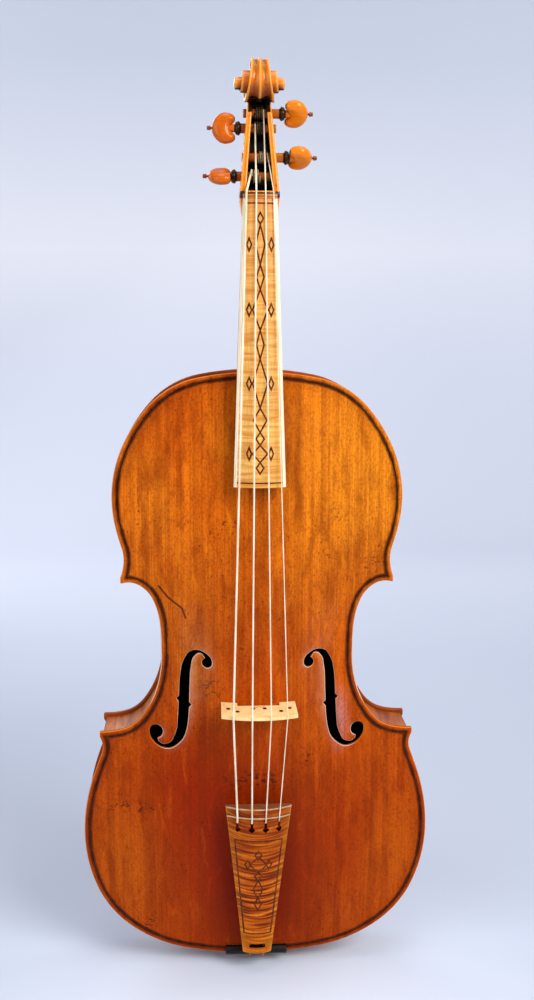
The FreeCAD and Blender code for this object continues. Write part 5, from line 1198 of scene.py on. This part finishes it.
def keep(piece, layer, amounts):
    """Keeps one value on each point of a piece, for its finish."""
    piece.data.attributes.new(layer, "FLOAT", "POINT").data.foreach_set("value", amounts.astype(float))


def note_hollows(piece, passes, gain):
    """Keeps on each point how much the surface bends inwards there."""
    mesh = piece.data
    places, normals = values(mesh.vertices, "co", 3), values(mesh.vertices, "normal", 3)
    first, second = values(mesh.edges, "vertices", 2, int).T
    way = places[second] - places[first]
    way /= np.linalg.norm(way, axis=1)[:, None] + 1e-12
    size = len(places)
    count = np.bincount(first, minlength=size) + np.bincount(second, minlength=size) + 1e-9

    def spread(at_first, at_second):
        """The mean over each point's neighbours."""
        return (np.bincount(first, at_first, size) + np.bincount(second, at_second, size)) / count

    bend = spread((normals[first] * way).sum(1), -(normals[second] * way).sum(1))
    for _ in range(passes):
        bend = 0.5 * bend + 0.5 * spread(bend[second], bend[first])
    keep(piece, "hollow", np.clip(bend * gain, -1, 1))
    print(piece.name, "hollows", np.percentile(bend * gain, (2, 50, 90, 98)).round(2))


def note_black_and_shade(piece):
    """Keeps where the head is painted near black: the trough and its top, the steps by the nut, and
    the volute's chin as painted shade. A millimetre or so either side of each border it fades."""
    x, y, z = values(piece.data.vertices, "co", 3).T / MM
    down = -values(piece.data.vertices, "normal", 3)[:, 2]
    x = np.abs(x)
    trough = smallest(at(z, TROUGH_WIDTHS) + 0.5 - x, y - at(z, FRONT_LINE) - 0.7,
                      at(z, TROUGH_FLOOR) + 0.6 - y, z - 612.0, 681.0 - z)
    # Painted shade under the volute's chin, on the faces that look down.
    chin = smallest(z - 673.0, 687.0 - z, -5.0 - y, 19.5 + y, (down - 0.30) * 6)
    top = smallest(z - 670.0, 682.0 - z, at(z, CHEEKS) - 0.9 - x, -5.0 - y, 24.0 + y)
    step = smallest(z - 607.2, 612.6 - z, x - 11.4, -20.0 - y)
    black = np.clip(0.4 + np.max([trough, chin, step, top], axis=0) / 0.9, 0, 1)
    keep(piece, "black_and_shade", black)
    print(piece.name, "points under old black:", int((black > 0.5).sum()))


note_hollows(head, 3, 9.0)
note_black_and_shade(head)
wear(head, neck_maple)
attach(head, "viola")
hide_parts("neck_and_scroll")

# %% [markdown]
# ## Pegs
# Each peg is turned on a lathe, then its head is sawn and filed to a heart, flat like a lens. The
# shaft is straight enough for a profile of radii along its length, and the head has a drawn
# outline. Both are depths again, so shaft, collar and head grow together in one skin. The peg is
# carved lying on its own axis, from the small end to the tip of the heart, and then turned and put
# in its seat.

# %% Carve the pegs
PEG_CELL = 0.32
HEART_LONG, HEART_HALF, HEART_THICK = 17.8, 11.3, 10.5
HEART_TAPER = 7.5
HEART = ((0.21, 0.0), (0.16, 0.22), (0.055, 0.40), (0.015, 0.57), (0.05, 0.78), (0.18, 0.93), (0.40, 1.0),
         (0.62, 0.94), (0.82, 0.70), (0.95, 0.36), (1.0, 0.0))
COLLAR_GAPS, COLLAR_LONG, NECK_LONG = {-1: 4.2, 1: 6.8}, 2.8, 9
PEG_SEATS = {  # y, z, half the pegbox there, side of the head, its turn in degrees, how far the end shows
    "c": (-17.0, 624.2, 13.64, -1, 68, 0.6), "a": (-14.4, 638.3, 12.37, 1, 58, 0.6),
    "g": (-10.6, 659.6, 10.44, -1, 4, 2.4), "d": (-9.0, 670.6, 9.45, 1, 43, 2.4)}
LIE_FLAT = Matrix(((1, 0, 0, 0), (0, 0, 1, 0), (0, 1, 0, 0), (0, 0, 0, 1)))


def peg_depth(along, up, thick, cheek, gap, tip):
    """Depth in a peg that lies along its own axis, its head's outline in the plane of along and up."""
    collar = cheek + gap
    start = collar + COLLAR_LONG
    turned = ((-cheek - tip - 0.1, 3.2), (collar - 0.9, 3.6), (collar - 0.5, 4.4), (collar + 0.3, 5.2),
              (collar + 1.1, 5.3), (collar + 1.5, 4.7), (collar + 1.9, 4.9), (start, 4.3),
              (start + 0.5, 3.0), (start + NECK_LONG, 2.6))
    shaft = smallest(at(along, turned) - np.hypot(up, thick), along + cheek + tip,
                     start + NECK_LONG - along)
    half = smooth_line([(start + a * HEART_LONG, b * HEART_HALF) for a, b in HEART])
    outline = np.vstack([half, (half * (1, -1))[::-1][1:-1]])
    rim = depth_in(outline, along, up)
    full = HEART_THICK / 2 * np.sqrt(1 - (1 - np.clip(rim / HEART_TAPER, 0, 1)) ** 2)
    lens = np.where(rim > 0, full * (1 - 0.12 * ease(rim / HEART_TAPER)), 0.6 * rim) - np.abs(thick)
    return np.maximum(shaft, lens * 0.75)


def carve_peg(name):
    """One peg, carved on its axis and put in its seat."""
    y, z, cheek, side, angle, tip = PEG_SEATS[name]
    gap = COLLAR_GAPS[side]
    low = (-cheek - tip - 1.5, -HEART_HALF - 1.2, -HEART_THICK / 2 - 1.2)
    high = (cheek + gap + COLLAR_LONG + HEART_LONG + 1.2, HEART_HALF + 1.2, HEART_THICK / 2 + 1.2)
    depth = peg_depth(*block(low, high, PEG_CELL), cheek, gap, tip)
    peg = skin(depth, low, PEG_CELL, "peg_" + name + "_carved")
    past_collar = values(peg.data.vertices, "co", 3)[:, 0] / MM - cheek - gap - 0.5 * COLLAR_LONG
    keep(peg, "black_and_shade", np.clip((3.0 - np.abs(past_collar + 0.2)) / 0.8, 0, 1))
    keep(peg, "on_shaft", past_collar < -1.0)
    turn = Matrix.Rotation(math.radians(angle), 4, "X")
    flip = Matrix.Rotation(math.pi if side < 0 else 0, 4, "Z")
    peg.data.transform(Matrix.Translation((0, y * MM, z * MM)) @ flip @ turn @ LIE_FLAT)
    peg.data.flip_normals()
    note_hollows(peg, 4, 5.0)
    wear(peg, peg_wood)
    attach(peg, f"peg_{name}_turning")
    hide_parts("peg_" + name)


for name in PEG_SEATS:
    carve_peg(name)
